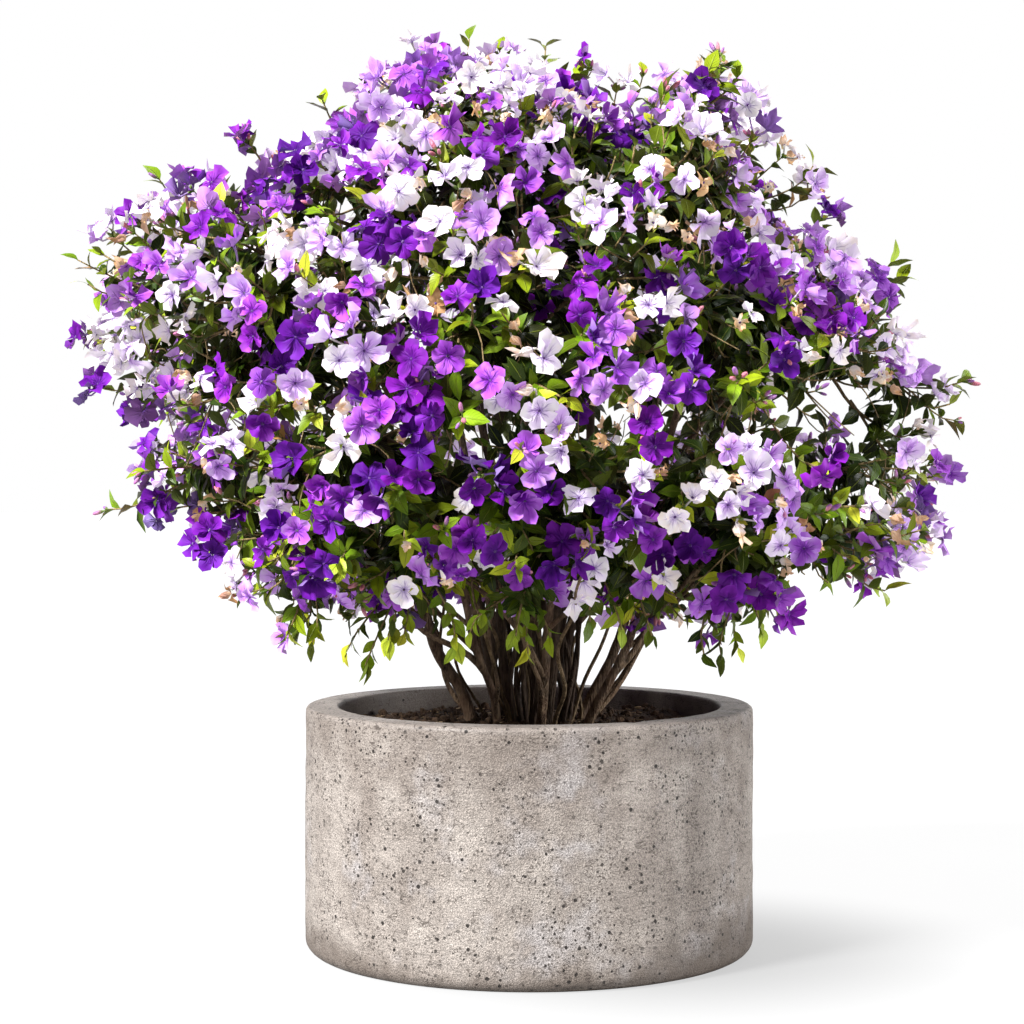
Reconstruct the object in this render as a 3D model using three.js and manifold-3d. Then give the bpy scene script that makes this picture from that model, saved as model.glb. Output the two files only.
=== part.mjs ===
// A flowering shrub in a round concrete planter, in millimetres, +Z up.
// The origin is the middle of the planter's underside. Seen from -Y, +X is to the right.
import * as THREE from "three";
import { mergeVertices } from "three/addons/utils/BufferGeometryUtils.js";
import Module from "manifold-3d";

const wasm = await Module();
wasm.setup();

// Driving dimensions. The planter is a plain cast cylinder, open at the top.
const planter = { radius: 240, height: 260, wall: 36, floor: 36, lip: 7, foot: 14, sides: 44 };
const drains = { count: 3, radius: 11, out: 105, first: 30 };
const soil = { level: 231, mound: 10, lump: 3 };
const rootCrown = { radius: 64, low: 150, high: 192 };

// The stems leave one point below the soil, so a stem's lean grows with its distance from the middle.
const fan = { originZ: 107, startZ: 183 };

// The crown is measured from its middle. Its outline, seen from the front, is a radius at each 20 degrees
// from +X towards +Z, and its half depth is the same all round.
const crown = {
  middle: new THREE.Vector3(-8, 0, 590),
  halfDepth: 432,
  outline: [
    526, 480, 404, 402, 386, 384, 380, 400, 480, 492, 420, 356, 300, 262, 255, 295, 368, 476,
  ],
};

// A flowering branch's limb ends at its hub. The leafy part and then the flowers take the rest of the reach.
const shares = { hub: 0.6, leaves: 0.25, flowers: 0.15 };

// Each ring of flowering branches: how many, their height above the crown's middle in degrees,
// and the first one's direction round the crown, in degrees from +X towards +Y.
const rings = {
  low: { count: 7, elevation: -24, first: 25 },
  middle: { count: 8, elevation: 11, first: 0 },
  high: { count: 5, elevation: 48, first: 18 },
  top: { count: 1, elevation: 90, first: 0 },
};

// The outer stems, one to a branch of the low ring: distance from the middle at the soil, and radius there.
const outerStems = [
  { out: 64, radius: 6.2 },
  { out: 57, radius: 5.6 },
  { out: 52, radius: 5.1 },
  { out: 60, radius: 7.4 },
  { out: 54, radius: 4.8 },
  { out: 56, radius: 5.4 },
  { out: 66, radius: 5.7 },
];
const innerStem = { out: 33, radius: 5.4, lead: 200, arrive: 160 };
const centreStem = { out: 4, radius: 6.2, lead: 220, arrive: 220 };
const fork = { z: 392, spread: 2.05, taper: 0.72, lean: 0.3, rise: 75, settle: 65 };
const lowLimb = { lead: 55, arrive: 62 };
const highLimb = { lead: 110, arrive: 85 };
const hubRadius = 3.6;

// Twigs, leaves, stalks and flowers. Lengths that are shares are of the branch's reach, and tilts are degrees
// from its axis. One thick leaf or flower stands for several thin ones, so that the crown keeps its weight.
const twig = { count: 4, foot: 0.035, stagger: 0.025, tilt: 46, length: 0.175, from: 2.2, to: 1.5 };
const leaf = { length: 60, width: 25, thickness: 2.6, sideTilt: 74, endTilt: 38 };
const cluster = { count: 5, crotch: 0.033, spread: 0.195, rise: 0.115, stub: 2.4, knot: 3.4 };
const flower = { radius: 23, notch: 17, thickness: 3.4, cup: 3, stalk: 1.2, throat: 1.7, lobes: 5 };

// Pieces that touch keep this much room between them.
const seat = 0.3;

const looks = {
  concrete: { color: 0xb3aba3, roughness: 0.85 },
  soil: { color: 0x33261d, roughness: 0.95 },
  bark: { color: 0x6b5848, roughness: 0.8 },
  leaf: { color: 0x4f7a2c, roughness: 0.5 },
  violet: { color: 0x7b35c9, roughness: 0.6 },
  lavender: { color: 0xb493e6, roughness: 0.6 },
  white: { color: 0xf2eef4, roughness: 0.6 },
};

const radians = THREE.MathUtils.degToRad;

// A repeatable sequence of numbers between 0 and 1.
function sequence(seed) {
  let state = seed;
  return () => {
    state = (state * 16807) % 2147483647;
    return state / 2147483647;
  };
}

// A closed geometry as a solid: only its positions count, with shared corners merged.
function solidOf(geometry) {
  const bare = (geometry.index ? geometry.toNonIndexed() : geometry).clone();
  for (const name of Object.keys(bare.attributes)) {
    if (name !== "position") bare.deleteAttribute(name);
  }
  const merged = mergeVertices(bare, 1e-3);
  return new wasm.Manifold(
    new wasm.Mesh({
      numProp: 3,
      vertProperties: merged.attributes.position.array,
      triVerts: new Uint32Array(merged.index.array),
    }),
  );
}

function geometryOf(solid) {
  const mesh = solid.getMesh();
  const stride = mesh.numProp;
  const positions = new Float32Array(mesh.numVert * 3);
  for (let i = 0; i < mesh.numVert; i++) {
    positions.set(mesh.vertProperties.subarray(i * stride, i * stride + 3), i * 3);
  }
  const geometry = new THREE.BufferGeometry();
  geometry.setAttribute("position", new THREE.BufferAttribute(positions, 3));
  geometry.setIndex(new THREE.BufferAttribute(mesh.triVerts, 1));
  geometry.computeVertexNormals();
  return geometry;
}

function joined(geometries) {
  return geometries.map(solidOf).reduce((sum, next) => sum.add(next));
}

function namedMesh(name, geometry, look) {
  const mesh = new THREE.Mesh(geometry, new THREE.MeshStandardMaterial({ metalness: 0, ...look }));
  mesh.name = name;
  return mesh;
}

const numbered = (word, index) => `${word}_${String(index + 1).padStart(2, "0")}`;

// Distance from the crown's middle to its surface along a direction.
function crownReach(direction) {
  const turn = (THREE.MathUtils.radToDeg(Math.atan2(direction.z, direction.x)) + 360) % 360;
  const step = 360 / crown.outline.length;
  const place = turn / step;
  const low = Math.floor(place) % crown.outline.length;
  const high = (low + 1) % crown.outline.length;
  const ease = 0.5 - 0.5 * Math.cos((place - Math.floor(place)) * Math.PI);
  const flat = crown.outline[low] * (1 - ease) + crown.outline[high] * ease;
  const inPlane = Math.hypot(direction.x, direction.z) / flat;
  return 1 / Math.hypot(inPlane, direction.y / crown.halfDepth);
}

function directionAt(azimuth, elevation) {
  const a = radians(azimuth);
  const e = radians(elevation);
  return new THREE.Vector3(Math.cos(e) * Math.cos(a), Math.cos(e) * Math.sin(a), Math.sin(e));
}

// One flowering branch's place: its axis, the crown's reach along it, and its hub, where the limb ends.
function branchPlaces(ring) {
  return Array.from({ length: ring.count }, (_, i) => {
    const azimuth = ring.first + (360 / ring.count) * i;
    const axis = directionAt(azimuth, ring.elevation);
    const reach = crownReach(axis);
    const hub = crown.middle.clone().addScaledVector(axis, reach * shares.hub);
    return { azimuth, axis, reach, hub };
  });
}

// A tapering round limb along a curve, closed at both ends.
function limbGeometry(curve, startRadius, endRadius, sides, steps) {
  const frames = curve.computeFrenetFrames(steps, false);
  const positions = [];
  const indices = [];
  for (let i = 0; i <= steps; i++) {
    const share = i / steps;
    const centre = curve.getPointAt(share);
    const radius = startRadius + (endRadius - startRadius) * share;
    for (let j = 0; j < sides; j++) {
      const turn = (j / sides) * Math.PI * 2;
      const point = centre
        .clone()
        .addScaledVector(frames.normals[i], radius * Math.cos(turn))
        .addScaledVector(frames.binormals[i], radius * Math.sin(turn));
      positions.push(point.x, point.y, point.z);
    }
  }
  const start = curve.getPointAt(0);
  const end = curve.getPointAt(1);
  positions.push(start.x, start.y, start.z, end.x, end.y, end.z);
  const startCentre = (steps + 1) * sides;
  const endCentre = startCentre + 1;
  for (let j = 0; j < sides; j++) {
    const k = (j + 1) % sides;
    for (let i = 0; i < steps; i++) {
      const a = i * sides + j;
      const b = i * sides + k;
      indices.push(a, b, b + sides, a, b + sides, a + sides);
    }
    indices.push(startCentre, k, j);
    indices.push(endCentre, steps * sides + j, steps * sides + k);
  }
  const geometry = new THREE.BufferGeometry();
  geometry.setAttribute("position", new THREE.Float32BufferAttribute(positions, 3));
  geometry.setIndex(indices);
  return geometry;
}

const straight = (from, to) => new THREE.LineCurve3(from, to);

// A planter: straight outer wall, rounded lip and foot, flat floor with drain holes round its middle.
function planterSolid() {
  const { radius, height, wall, floor, lip, foot, sides } = planter;
  const inner = radius - wall;
  const profile = [new THREE.Vector2(0, 0)];
  const corner = (cx, cy, r, from, to, count) => {
    for (let i = 0; i <= count; i++) {
      const turn = radians(from + ((to - from) * i) / count);
      profile.push(new THREE.Vector2(cx + r * Math.cos(turn), cy + r * Math.sin(turn)));
    }
  };
  corner(radius - foot, foot, foot, -90, 0, 2);
  corner(radius - lip, height - lip, lip, 0, 90, 2);
  corner(inner + lip * 0.6, height - lip * 0.6, lip * 0.6, 90, 180, 1);
  profile.push(new THREE.Vector2(inner, floor), new THREE.Vector2(0, floor));
  const body = new THREE.LatheGeometry(profile, sides);
  body.rotateX(Math.PI / 2);
  const holes = Array.from({ length: drains.count }, (_, i) => {
    const hole = new THREE.CylinderGeometry(drains.radius, drains.radius, floor * 2, 10);
    hole.rotateX(Math.PI / 2);
    const at = directionAt(drains.first + (360 / drains.count) * i, 0).multiplyScalar(drains.out);
    hole.translate(at.x, at.y, floor / 2);
    return solidOf(hole);
  });
  return holes.reduce((rest, hole) => rest.subtract(hole), solidOf(body));
}

// Soil: a low lumpy mound in the planter, on its floor.
function soilSolid() {
  const outer = planter.radius - planter.wall - seat;
  const bottom = planter.floor + seat;
  const bands = [1, 0.8, 0.5, 0.2];
  const profile = [new THREE.Vector2(0, bottom), new THREE.Vector2(outer, bottom)];
  bands.forEach((share) => {
    profile.push(new THREE.Vector2(outer * share, soil.level + soil.mound * (1 - share)));
  });
  profile.push(new THREE.Vector2(0, soil.level + soil.mound));
  const body = new THREE.LatheGeometry(profile, planter.sides / 2);
  body.rotateX(Math.PI / 2);
  const position = body.attributes.position;
  for (let i = 0; i < position.count; i++) {
    const x = position.getX(i);
    const y = position.getY(i);
    const z = position.getZ(i);
    const inside = Math.hypot(x, y) < outer - 1 && z > soil.level - 1;
    const lump = Math.sin(x * 0.043 + 1.3) * Math.cos(y * 0.051 + 0.4) + Math.sin((x + y) * 0.029);
    if (inside) position.setZ(i, z + lump * soil.lump);
  }
  return solidOf(body);
}

// The woody base in the soil, which holds the foot of every stem.
function rootCrownSolid() {
  const { radius, low, high } = rootCrown;
  const profile = [
    new THREE.Vector2(0, low),
    new THREE.Vector2(radius * 0.6, low + 4),
    new THREE.Vector2(radius, low + 20),
    new THREE.Vector2(radius, high),
    new THREE.Vector2(0, high),
  ];
  const body = new THREE.LatheGeometry(profile, 14);
  body.rotateX(Math.PI / 2);
  return withSockets(solidOf(body));
}

// A point of the fan of stems at a height, for a stem that is at `out` from the middle at the soil.
function fanPoint(azimuth, out, z) {
  const share = (z - fan.originZ) / (soil.level - fan.originZ);
  return directionAt(azimuth, 0)
    .multiplyScalar(out * share)
    .setZ(z);
}

// A limb's curve from a start, along a first direction, to a hub that it meets along the hub's axis.
function limbCurve(start, heading, place, { lead, arrive }) {
  return new THREE.CubicBezierCurve3(
    start,
    start.clone().addScaledVector(heading, lead),
    place.hub.clone().addScaledVector(place.axis, -arrive),
    place.hub,
  );
}

const places = {
  low: branchPlaces(rings.low),
  middle: branchPlaces(rings.middle),
  high: branchPlaces(rings.high),
  top: branchPlaces(rings.top),
};

// An outer stem rises to a fork, from which one limb arches to each flowering branch that it carries.
function outerStemParts(stem, low, uppers) {
  const start = fanPoint(low.azimuth, stem.out, fan.startZ);
  const top = fanPoint(low.azimuth, stem.out * fork.spread, soil.level).setZ(fork.z);
  const rising = fanPoint(low.azimuth, stem.out, soil.level).sub(start).normalize();
  const outward = directionAt(low.azimuth, 0).multiplyScalar(fork.lean);
  const heading = new THREE.Vector3(0, 0, 1).add(outward).normalize();
  const trunk = new THREE.CubicBezierCurve3(
    start,
    start.clone().addScaledVector(rising, fork.rise),
    top.clone().addScaledVector(heading, -fork.settle),
    top,
  );
  const forkRadius = stem.radius * fork.taper;
  const limb = (place, bend) => ({
    curve: limbCurve(top, heading, place, bend),
    from: forkRadius,
    to: hubRadius,
    sides: 5,
    steps: 5,
  });
  return {
    trunk: { curve: trunk, from: stem.radius, to: forkRadius, sides: 7, steps: 5 },
    limbs: [limb(low, lowLimb), ...uppers.map((place) => limb(place, highLimb))],
  };
}

// An inner stem rises in one long curve to its own flowering branch.
function innerStemParts(stem, place) {
  const start = fanPoint(place.azimuth, stem.out, fan.startZ);
  const rising = fanPoint(place.azimuth, stem.out, soil.level).sub(start).normalize();
  const curve = limbCurve(start, rising, place, stem);
  return { trunk: { curve, from: stem.radius, to: hubRadius, sides: 7, steps: 8 }, limbs: [] };
}

// The middle ring's branches go to the nearest outer stem.
function nearestStem(azimuth) {
  const apart = places.low.map((low) => {
    const turn = Math.abs(low.azimuth - azimuth) % 360;
    return Math.min(turn, 360 - turn);
  });
  return apart.indexOf(Math.min(...apart));
}

const stems = [
  ...outerStems.map((stem, i) =>
    outerStemParts(
      stem,
      places.low[i],
      places.middle.filter((place) => nearestStem(place.azimuth) === i),
    ),
  ),
  ...places.high.map((place) => innerStemParts(innerStem, place)),
  innerStemParts(centreStem, places.top[0]),
];

const grown = (part) => limbGeometry(part.curve, part.from, part.to, part.sides, part.steps);

const stemSolid = (stem) => joined([stem.trunk, ...stem.limbs].map(grown));

// A body with a socket for every stem: the trunk's own shape with a small gap all round and below its foot.
function withSockets(body) {
  return stems.reduce((rest, { trunk }) => {
    const curve = trunk.curve.clone();
    curve.v0.addScaledVector(curve.getTangentAt(0), -seat);
    const room = { ...trunk, curve, from: trunk.from + seat, to: trunk.to + seat };
    return rest.subtract(solidOf(grown(room)));
  }, body);
}

// The soil closes round the root crown and every stem.
function soilWithSockets() {
  const { radius, low, high } = rootCrown;
  const room = new THREE.CylinderGeometry(radius + seat, radius + seat, high - low + 2 * seat, 14);
  room.rotateX(Math.PI / 2);
  room.translate(0, 0, (high + low) / 2);
  return withSockets(soilSolid().subtract(solidOf(room)));
}

// A leaf: a thin blade, pointed at both ends and thickest along its middle, lying along +Z from its foot.
function leafGeometry(scale) {
  const blade = new THREE.OctahedronGeometry(1);
  blade.scale((leaf.width / 2) * scale, leaf.thickness / 2, (leaf.length / 2) * scale);
  blade.translate(0, 0, (leaf.length / 2) * scale);
  return blade;
}

// A flower: a thin stalk that flares at its top into five broad lobes round a shallow funnel.
function flowerGeometry(foot, point, facing, turn, scale) {
  const ring = (centre, normal, radii) => {
    const across = new THREE.Vector3(0, 0, 1).cross(normal).normalize();
    if (across.lengthSq() < 0.5) across.set(1, 0, 0);
    const along = normal.clone().cross(across);
    return radii.map((radius, i) => {
      const angle = turn + (i / radii.length) * Math.PI * 2;
      return centre
        .clone()
        .addScaledVector(across, radius * Math.cos(angle))
        .addScaledVector(along, radius * Math.sin(angle));
    });
  };
  const { lobes } = flower;
  const rim = point.clone().addScaledVector(facing, flower.cup + flower.thickness / 2);
  const lobe = [1, flower.notch / flower.radius].map((share) => flower.radius * scale * share);
  const vertices = [
    ...ring(foot, facing, Array(lobes).fill(flower.stalk)),
    ...ring(point, facing, Array(lobes).fill(flower.throat)),
    ...ring(rim, facing, Array.from({ length: lobes * 2 }, (_, i) => lobe[i % 2])),
    foot,
    point.clone().addScaledVector(facing, flower.thickness),
  ];
  const neck = lobes;
  const outline = 2 * lobes;
  const footCentre = 4 * lobes;
  const eye = footCentre + 1;
  const indices = [];
  for (let i = 0; i < lobes; i++) {
    const next = (i + 1) % lobes;
    const tip = outline + 2 * i;
    const notch = tip + 1;
    const before = outline + ((2 * i + 2 * lobes - 1) % (2 * lobes));
    const nextTip = outline + 2 * next;
    indices.push(footCentre, next, i, i, next, neck + next, i, neck + next, neck + i);
    indices.push(neck + i, tip, before, neck + i, notch, tip, neck + i, neck + next, notch);
    indices.push(eye, tip, notch, eye, notch, nextTip);
  }
  const geometry = new THREE.BufferGeometry();
  geometry.setAttribute(
    "position",
    new THREE.Float32BufferAttribute(vertices.flatMap((vertex) => vertex.toArray()), 3),
  );
  geometry.setIndex(indices);
  return geometry;
}

// Turns a geometry's +Z to a direction, spins it about that, and moves it to a point.
function set(geometry, point, direction, spin) {
  const turn = new THREE.Quaternion().setFromUnitVectors(new THREE.Vector3(0, 0, 1), direction);
  geometry.rotateZ(spin);
  geometry.applyQuaternion(turn);
  geometry.translate(point.x, point.y, point.z);
  return geometry;
}

const around = (turn, tilt) =>
  new THREE.Vector3(Math.sin(tilt) * Math.cos(turn), Math.sin(tilt) * Math.sin(turn), Math.cos(tilt));

// A leafy branch, from its hub along +Z: a leading twig, side twigs and their leaves.
function leafySpray(place, seed) {
  const next = sequence(seed);
  const { reach } = place;
  const lead = straight(new THREE.Vector3(0, 0, seat), new THREE.Vector3(0, 0, reach * shares.leaves));
  const pieces = [limbGeometry(lead, hubRadius, cluster.stub, 5, 1)];
  const firstTurn = next() * Math.PI * 2;
  for (let i = 0; i < twig.count; i++) {
    const turn = firstTurn + ((i + 0.3 * (next() - 0.5)) / twig.count) * Math.PI * 2;
    const foot = new THREE.Vector3(0, 0, reach * (twig.foot + twig.stagger * (i % 2)));
    const heading = around(turn, radians(twig.tilt + 6 * (i % 2)));
    const tip = foot.clone().addScaledVector(heading, reach * twig.length * (0.95 + 0.1 * next()));
    pieces.push(limbGeometry(straight(foot, tip), twig.from, twig.to, 3, 1));
    const leaves = [
      { along: 0.55, turn: turn - 0.55, tilt: leaf.sideTilt },
      { along: 0.97, turn: turn + 0.15, tilt: leaf.endTilt },
    ];
    for (const { along, turn: side, tilt } of leaves) {
      const blade = leafGeometry(0.82 + 0.3 * next());
      const point = foot.clone().lerp(tip, along);
      pieces.push(set(blade, point, around(side, radians(tilt)), turn + Math.PI / 2));
    }
  }
  return joined(pieces);
}

// A cluster of open flowers: a short stub that carries one leading flower and a ring of others.
function flowerCluster(place, seed) {
  const next = sequence(seed);
  const { reach } = place;
  const base = new THREE.Vector3(0, 0, seat);
  const crotch = new THREE.Vector3(0, 0, reach * cluster.crotch);
  const pieces = [limbGeometry(straight(base, crotch), cluster.stub, cluster.knot, 5, 1)];
  const firstTurn = next() * Math.PI * 2;
  for (let i = 0; i < cluster.count; i++) {
    const turn = firstTurn + (i / cluster.count) * Math.PI * 2;
    const lateral = reach * (cluster.spread + 0.03 * (i % 2));
    const rise = reach * (cluster.rise + 0.008 * (next() - 0.5));
    const point = new THREE.Vector3(lateral * Math.cos(turn), lateral * Math.sin(turn), rise);
    const foot = crotch.clone().addScaledVector(around(turn, radians(75)), cluster.knot - flower.stalk);
    const facing = around(turn, radians(12 + 10 * next()));
    pieces.push(flowerGeometry(foot, point, facing, turn, 0.95 + 0.12 * next()));
  }
  const leading = new THREE.Vector3(0, 0, reach * shares.flowers * 0.93);
  const foot = crotch.clone().setZ(crotch.z - cluster.knot);
  pieces.push(flowerGeometry(foot, leading, around(firstTurn, 0.1), firstTurn, 1));
  return joined(pieces);
}

// Places a spray or cluster made along +Z so that it runs out along a branch's axis.
function setAlong(mesh, place, distance) {
  mesh.position.copy(place.hub).addScaledVector(place.axis, distance);
  mesh.quaternion.setFromUnitVectors(new THREE.Vector3(0, 0, 1), place.axis);
  return mesh;
}

const shrub = new THREE.Group();
shrub.name = "potted_shrub";

shrub.add(namedMesh("planter", geometryOf(planterSolid()), looks.concrete));
shrub.add(namedMesh("potting_soil", geometryOf(soilWithSockets()), looks.soil));
shrub.add(namedMesh("root_crown", geometryOf(rootCrownSolid()), looks.bark));

const wood = new THREE.Group();
stems.forEach((stem, i) => {
  wood.add(namedMesh(numbered("stem", i), geometryOf(stemSolid(stem)), looks.bark));
});
shrub.add(wood);

// Flowers open violet, fade to lavender and end white, and neighbouring clusters differ in age.
const ages = [looks.violet, looks.lavender, looks.violet, looks.white, looks.violet, looks.lavender];
const branches = [...places.low, ...places.middle, ...places.high, ...places.top];
const foliage = new THREE.Group();
branches.forEach((place, i) => {
  const leaves = geometryOf(leafySpray(place, 11 + 7 * i));
  const flowers = geometryOf(flowerCluster(place, 5 + 9 * i));
  foliage.add(
    setAlong(namedMesh(numbered("leaf_spray", i), leaves, looks.leaf), place, 0),
    setAlong(
      namedMesh(numbered("flower_cluster", i), flowers, ages[i % ages.length]),
      place,
      place.reach * shares.leaves,
    ),
  );
});
shrub.add(foliage);

export default shrub;
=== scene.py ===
# A flowering shrub in a round concrete planter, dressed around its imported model. Metres, +Z up.
import math
import bpy
import numpy as np
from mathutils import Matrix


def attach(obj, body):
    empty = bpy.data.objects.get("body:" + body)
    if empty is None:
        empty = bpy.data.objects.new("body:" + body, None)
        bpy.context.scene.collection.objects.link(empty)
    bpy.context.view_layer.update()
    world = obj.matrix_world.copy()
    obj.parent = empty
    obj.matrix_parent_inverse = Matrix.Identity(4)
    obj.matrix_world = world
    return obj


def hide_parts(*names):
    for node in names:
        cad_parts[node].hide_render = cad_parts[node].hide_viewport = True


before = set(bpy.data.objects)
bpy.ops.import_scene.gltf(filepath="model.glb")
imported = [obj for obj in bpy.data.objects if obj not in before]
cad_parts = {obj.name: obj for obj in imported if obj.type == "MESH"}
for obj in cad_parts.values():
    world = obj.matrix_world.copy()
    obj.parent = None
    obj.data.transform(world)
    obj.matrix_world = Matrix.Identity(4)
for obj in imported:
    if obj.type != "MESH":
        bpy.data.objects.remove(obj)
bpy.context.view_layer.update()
rng = np.random.default_rng(21)
upward = np.array([0.0, 0.0, 1.0])
fullTurn = 2 * math.pi
print("frame loaded:", len(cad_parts), "nodes")


# Vectors divided by their lengths
def unit(v):
    return v / np.maximum(np.linalg.norm(v, axis=-1, keepdims=True), 1e-9)


# The level direction at an azimuth
def sideways(azimuth):
    return np.array([math.cos(azimuth), math.sin(azimuth), 0.0])


# Smooth noise of about -1 to 1: sines along fixed random directions, added up
def ripple(points, wavelength, seed, waves=10):
    source = np.random.default_rng(seed)
    heading = unit(source.normal(size=(waves, 3))) * source.uniform(0.7, 1.5, (waves, 1))
    phase = source.uniform(0, fullTurn, waves)
    return np.sin(points @ (heading * fullTurn / wavelength).T + phase).sum(-1) / math.sqrt(waves)


# Points and directions along cubic curves: corners (n, 4, 3) at shares t (n, m)
def bezier(corners, t):
    t = np.broadcast_to(t, (len(corners), np.shape(t)[-1]))[..., None]
    a, b, c, d = (corners[:, i, None] for i in range(4))
    point = a * (1 - t) ** 3 + 3 * b * t * (1 - t) ** 2 + 3 * c * t ** 2 * (1 - t) + d * t ** 3
    way = (b - a) * (1 - t) ** 2 + 2 * (c - b) * t * (1 - t) + (d - c) * t ** 2
    return point, unit(way)


# Corners of such curves, from how they lead off and how they arrive
def bent(start, lead, arrive, end):
    return np.stack([start, start + lead, end - arrive, end], -2)


# Two directions square to each direction of the way, kept steady along each curve
def sidesOf(way):
    chord = unit(way.mean(-2, keepdims=True))
    spare = np.where(np.abs(chord[..., 2:]) > 0.8, [1.0, 0.0, 0.0], [0.0, 0.0, 1.0])
    first = unit(np.cross(way, unit(np.cross(chord, spare))))
    return first, np.cross(way, first)


# Faces of a grid of rows and columns, as corner numbers; around joins the last column to the first
def gridFaces(rows, columns, around=False):
    number = np.arange(rows * columns).reshape(rows, columns)
    right = np.roll(number, -1, 1) if around else number[:, 1:]
    left = number if around else number[:, :-1]
    return np.stack([left[:-1], right[:-1], right[1:], left[1:]], -1).reshape(-1, 4)


# Faces of stacked rings, and of the caps round two end points that follow them
def ringFaces(rows, sides):
    j = np.arange(sides)
    k = (j + 1) % sides
    first, last = rows * sides, (rows - 1) * sides
    foot = np.stack([np.full(sides, first), k, j], -1)
    top = np.stack([np.full(sides, first + 1), last + j, last + k], -1)
    return gridFaces(rows, sides, True), np.concatenate([foot, top])


# The same faces for many copies, each with its own corners
def repeated(faces, copies, corners):
    return (faces[None] + (np.arange(copies) * corners)[:, None, None]).reshape(-1, faces.shape[1])


# Cosines and sines of even turns, as pairs
def circle(steps):
    turn = np.arange(steps) / steps * fullTurn
    return np.stack([np.cos(turn), np.sin(turn)], -1)


# Rings round the upright axis, of radii and heights
def spun(out, z, steps):
    flat = out[:, None, None] * circle(steps)
    return np.concatenate([flat, np.broadcast_to(z[:, None, None], (len(out), steps, 1))], -1)


# Round tubes closed at both ends: points and way (n, m, 3), radius (n, m, 1) or (n, m, sides)
def tubes(points, way, radius, sides):
    n, m = points.shape[:2]
    first, second = sidesOf(way)
    spin = circle(sides)
    ring = first[:, :, None] * spin[:, :1] + second[:, :, None] * spin[:, 1:]
    rings = (points[:, :, None] + ring * radius[..., None]).reshape(n, m * sides, 3)
    vertices = np.concatenate([rings, points[:, :1], points[:, -1:]], 1)
    return vertices, *(repeated(faces, n, m * sides + 2) for faces in ringFaces(m, sides))


# Gathers parts of one mesh: each has vertices, quads, triangles, a material number, a uv and named values
class Parts:
    def __init__(self):
        self.vertices, self.quads, self.triangles = [], [], []
        self.quadLooks, self.triangleLooks, self.uv, self.values = [], [], [], []
        self.count = 0

    def add(self, vertices, quads, triangles=None, look=0, uv=None, values=None):
        vertices = vertices.reshape(-1, 3)
        triangles = np.zeros((0, 3), int) if triangles is None else triangles
        self.vertices.append(vertices)
        self.quads.append(quads + self.count)
        self.triangles.append(triangles + self.count)
        self.quadLooks.append(np.full(len(quads), look))
        self.triangleLooks.append(np.full(len(triangles), look))
        self.uv.append(np.zeros((len(vertices), 2)) if uv is None else uv.reshape(-1, 2))
        self.values.append({k: np.broadcast_to(v, vertices.shape[:1]) for k, v in (values or {}).items()})
        self.count += len(vertices)

    # One closed skin of rings, with a point of the axis at either end
    def addSkin(self, rings, foot, top, **values):
        vertices = np.concatenate([rings.reshape(-1, 3), [[0, 0, foot], [0, 0, top]]])
        self.add(vertices, *ringFaces(*rings.shape[:2]), values=values)

    # Round tubes; a value is one number, or one for each tube (n, 1) or for each ring (m)
    def addTubes(self, course, way, radius, sides, look=0, **values):
        n, m = course.shape[:2]
        radius = radius if np.ndim(radius) == 3 else np.broadcast_to(radius, (n, m))[..., None]
        for key, value in values.items():
            value = np.broadcast_to(value, (n, m))
            rings = np.repeat(value, sides, 1)
            values[key] = np.concatenate([rings, value[:, :1], value[:, -1:]], 1).ravel()
        self.add(*tubes(course, way, radius, sides), look, values=values)


# Makes the object of gathered parts, rides it on the root body and hides the CAD nodes it stands for
def makePiece(name, parts, materials, stoodFor=()):
    points = np.concatenate(parts.vertices)
    quads, triangles = np.concatenate(parts.quads), np.concatenate(parts.triangles)
    corners = np.concatenate([quads.ravel(), triangles.ravel()])
    starts = np.concatenate([np.arange(len(quads)) * 4, quads.size + np.arange(len(triangles)) * 3])
    mesh = bpy.data.meshes.new(name)
    mesh.vertices.add(len(points))
    mesh.vertices.foreach_set("co", points.astype(np.float32).ravel())
    mesh.loops.add(len(corners))
    mesh.loops.foreach_set("vertex_index", corners.astype(np.int32))
    mesh.polygons.add(len(starts))
    mesh.polygons.foreach_set("loop_start", starts.astype(np.int32))
    looks = np.concatenate([*parts.quadLooks, *parts.triangleLooks])
    mesh.update(calc_edges=True)
    for material in materials:
        mesh.materials.append(material)
    mesh.polygons.foreach_set("material_index", looks.astype(np.int32))
    mesh.polygons.foreach_set("use_smooth", np.ones(len(starts), bool))
    layer = mesh.uv_layers.new(name="surface")
    layer.data.foreach_set("uv", np.concatenate(parts.uv)[corners].astype(np.float32).ravel())
    for key in sorted({k for values in parts.values for k in values}):
        column = [v.get(key, np.zeros(len(p))) for v, p in zip(parts.values, parts.vertices)]
        data = mesh.attributes.new(key, "FLOAT", "POINT").data
        data.foreach_set("value", np.concatenate(column).astype(np.float32))
    mesh.validate()
    piece = bpy.data.objects.new(name, mesh)
    bpy.context.scene.collection.objects.link(piece)
    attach(piece, "root")
    if stoodFor:
        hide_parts(*stoodFor)
    return piece


# Adds a shader node with its settings, and its inputs as values or as other nodes' sockets
def addNode(tree, kind, inputs=None, **settings):
    node = tree.nodes.new("ShaderNode" + kind)
    for key, value in settings.items():
        setattr(node, key, value)
    for key, value in (inputs or {}).items():
        if isinstance(value, bpy.types.NodeSocket):
            tree.links.new(value, node.inputs[key])
        else:
            node.inputs[key].default_value = value
    return node


def calculate(tree, operation, first, second=0.0, third=0.0):
    return addNode(tree, "Math", {0: first, 1: second, 2: third}, operation=operation).outputs[0]


def times(tree, first, second, added=None):
    if added is None:
        return calculate(tree, "MULTIPLY", first, second)
    return calculate(tree, "MULTIPLY_ADD", first, second, added)


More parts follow.
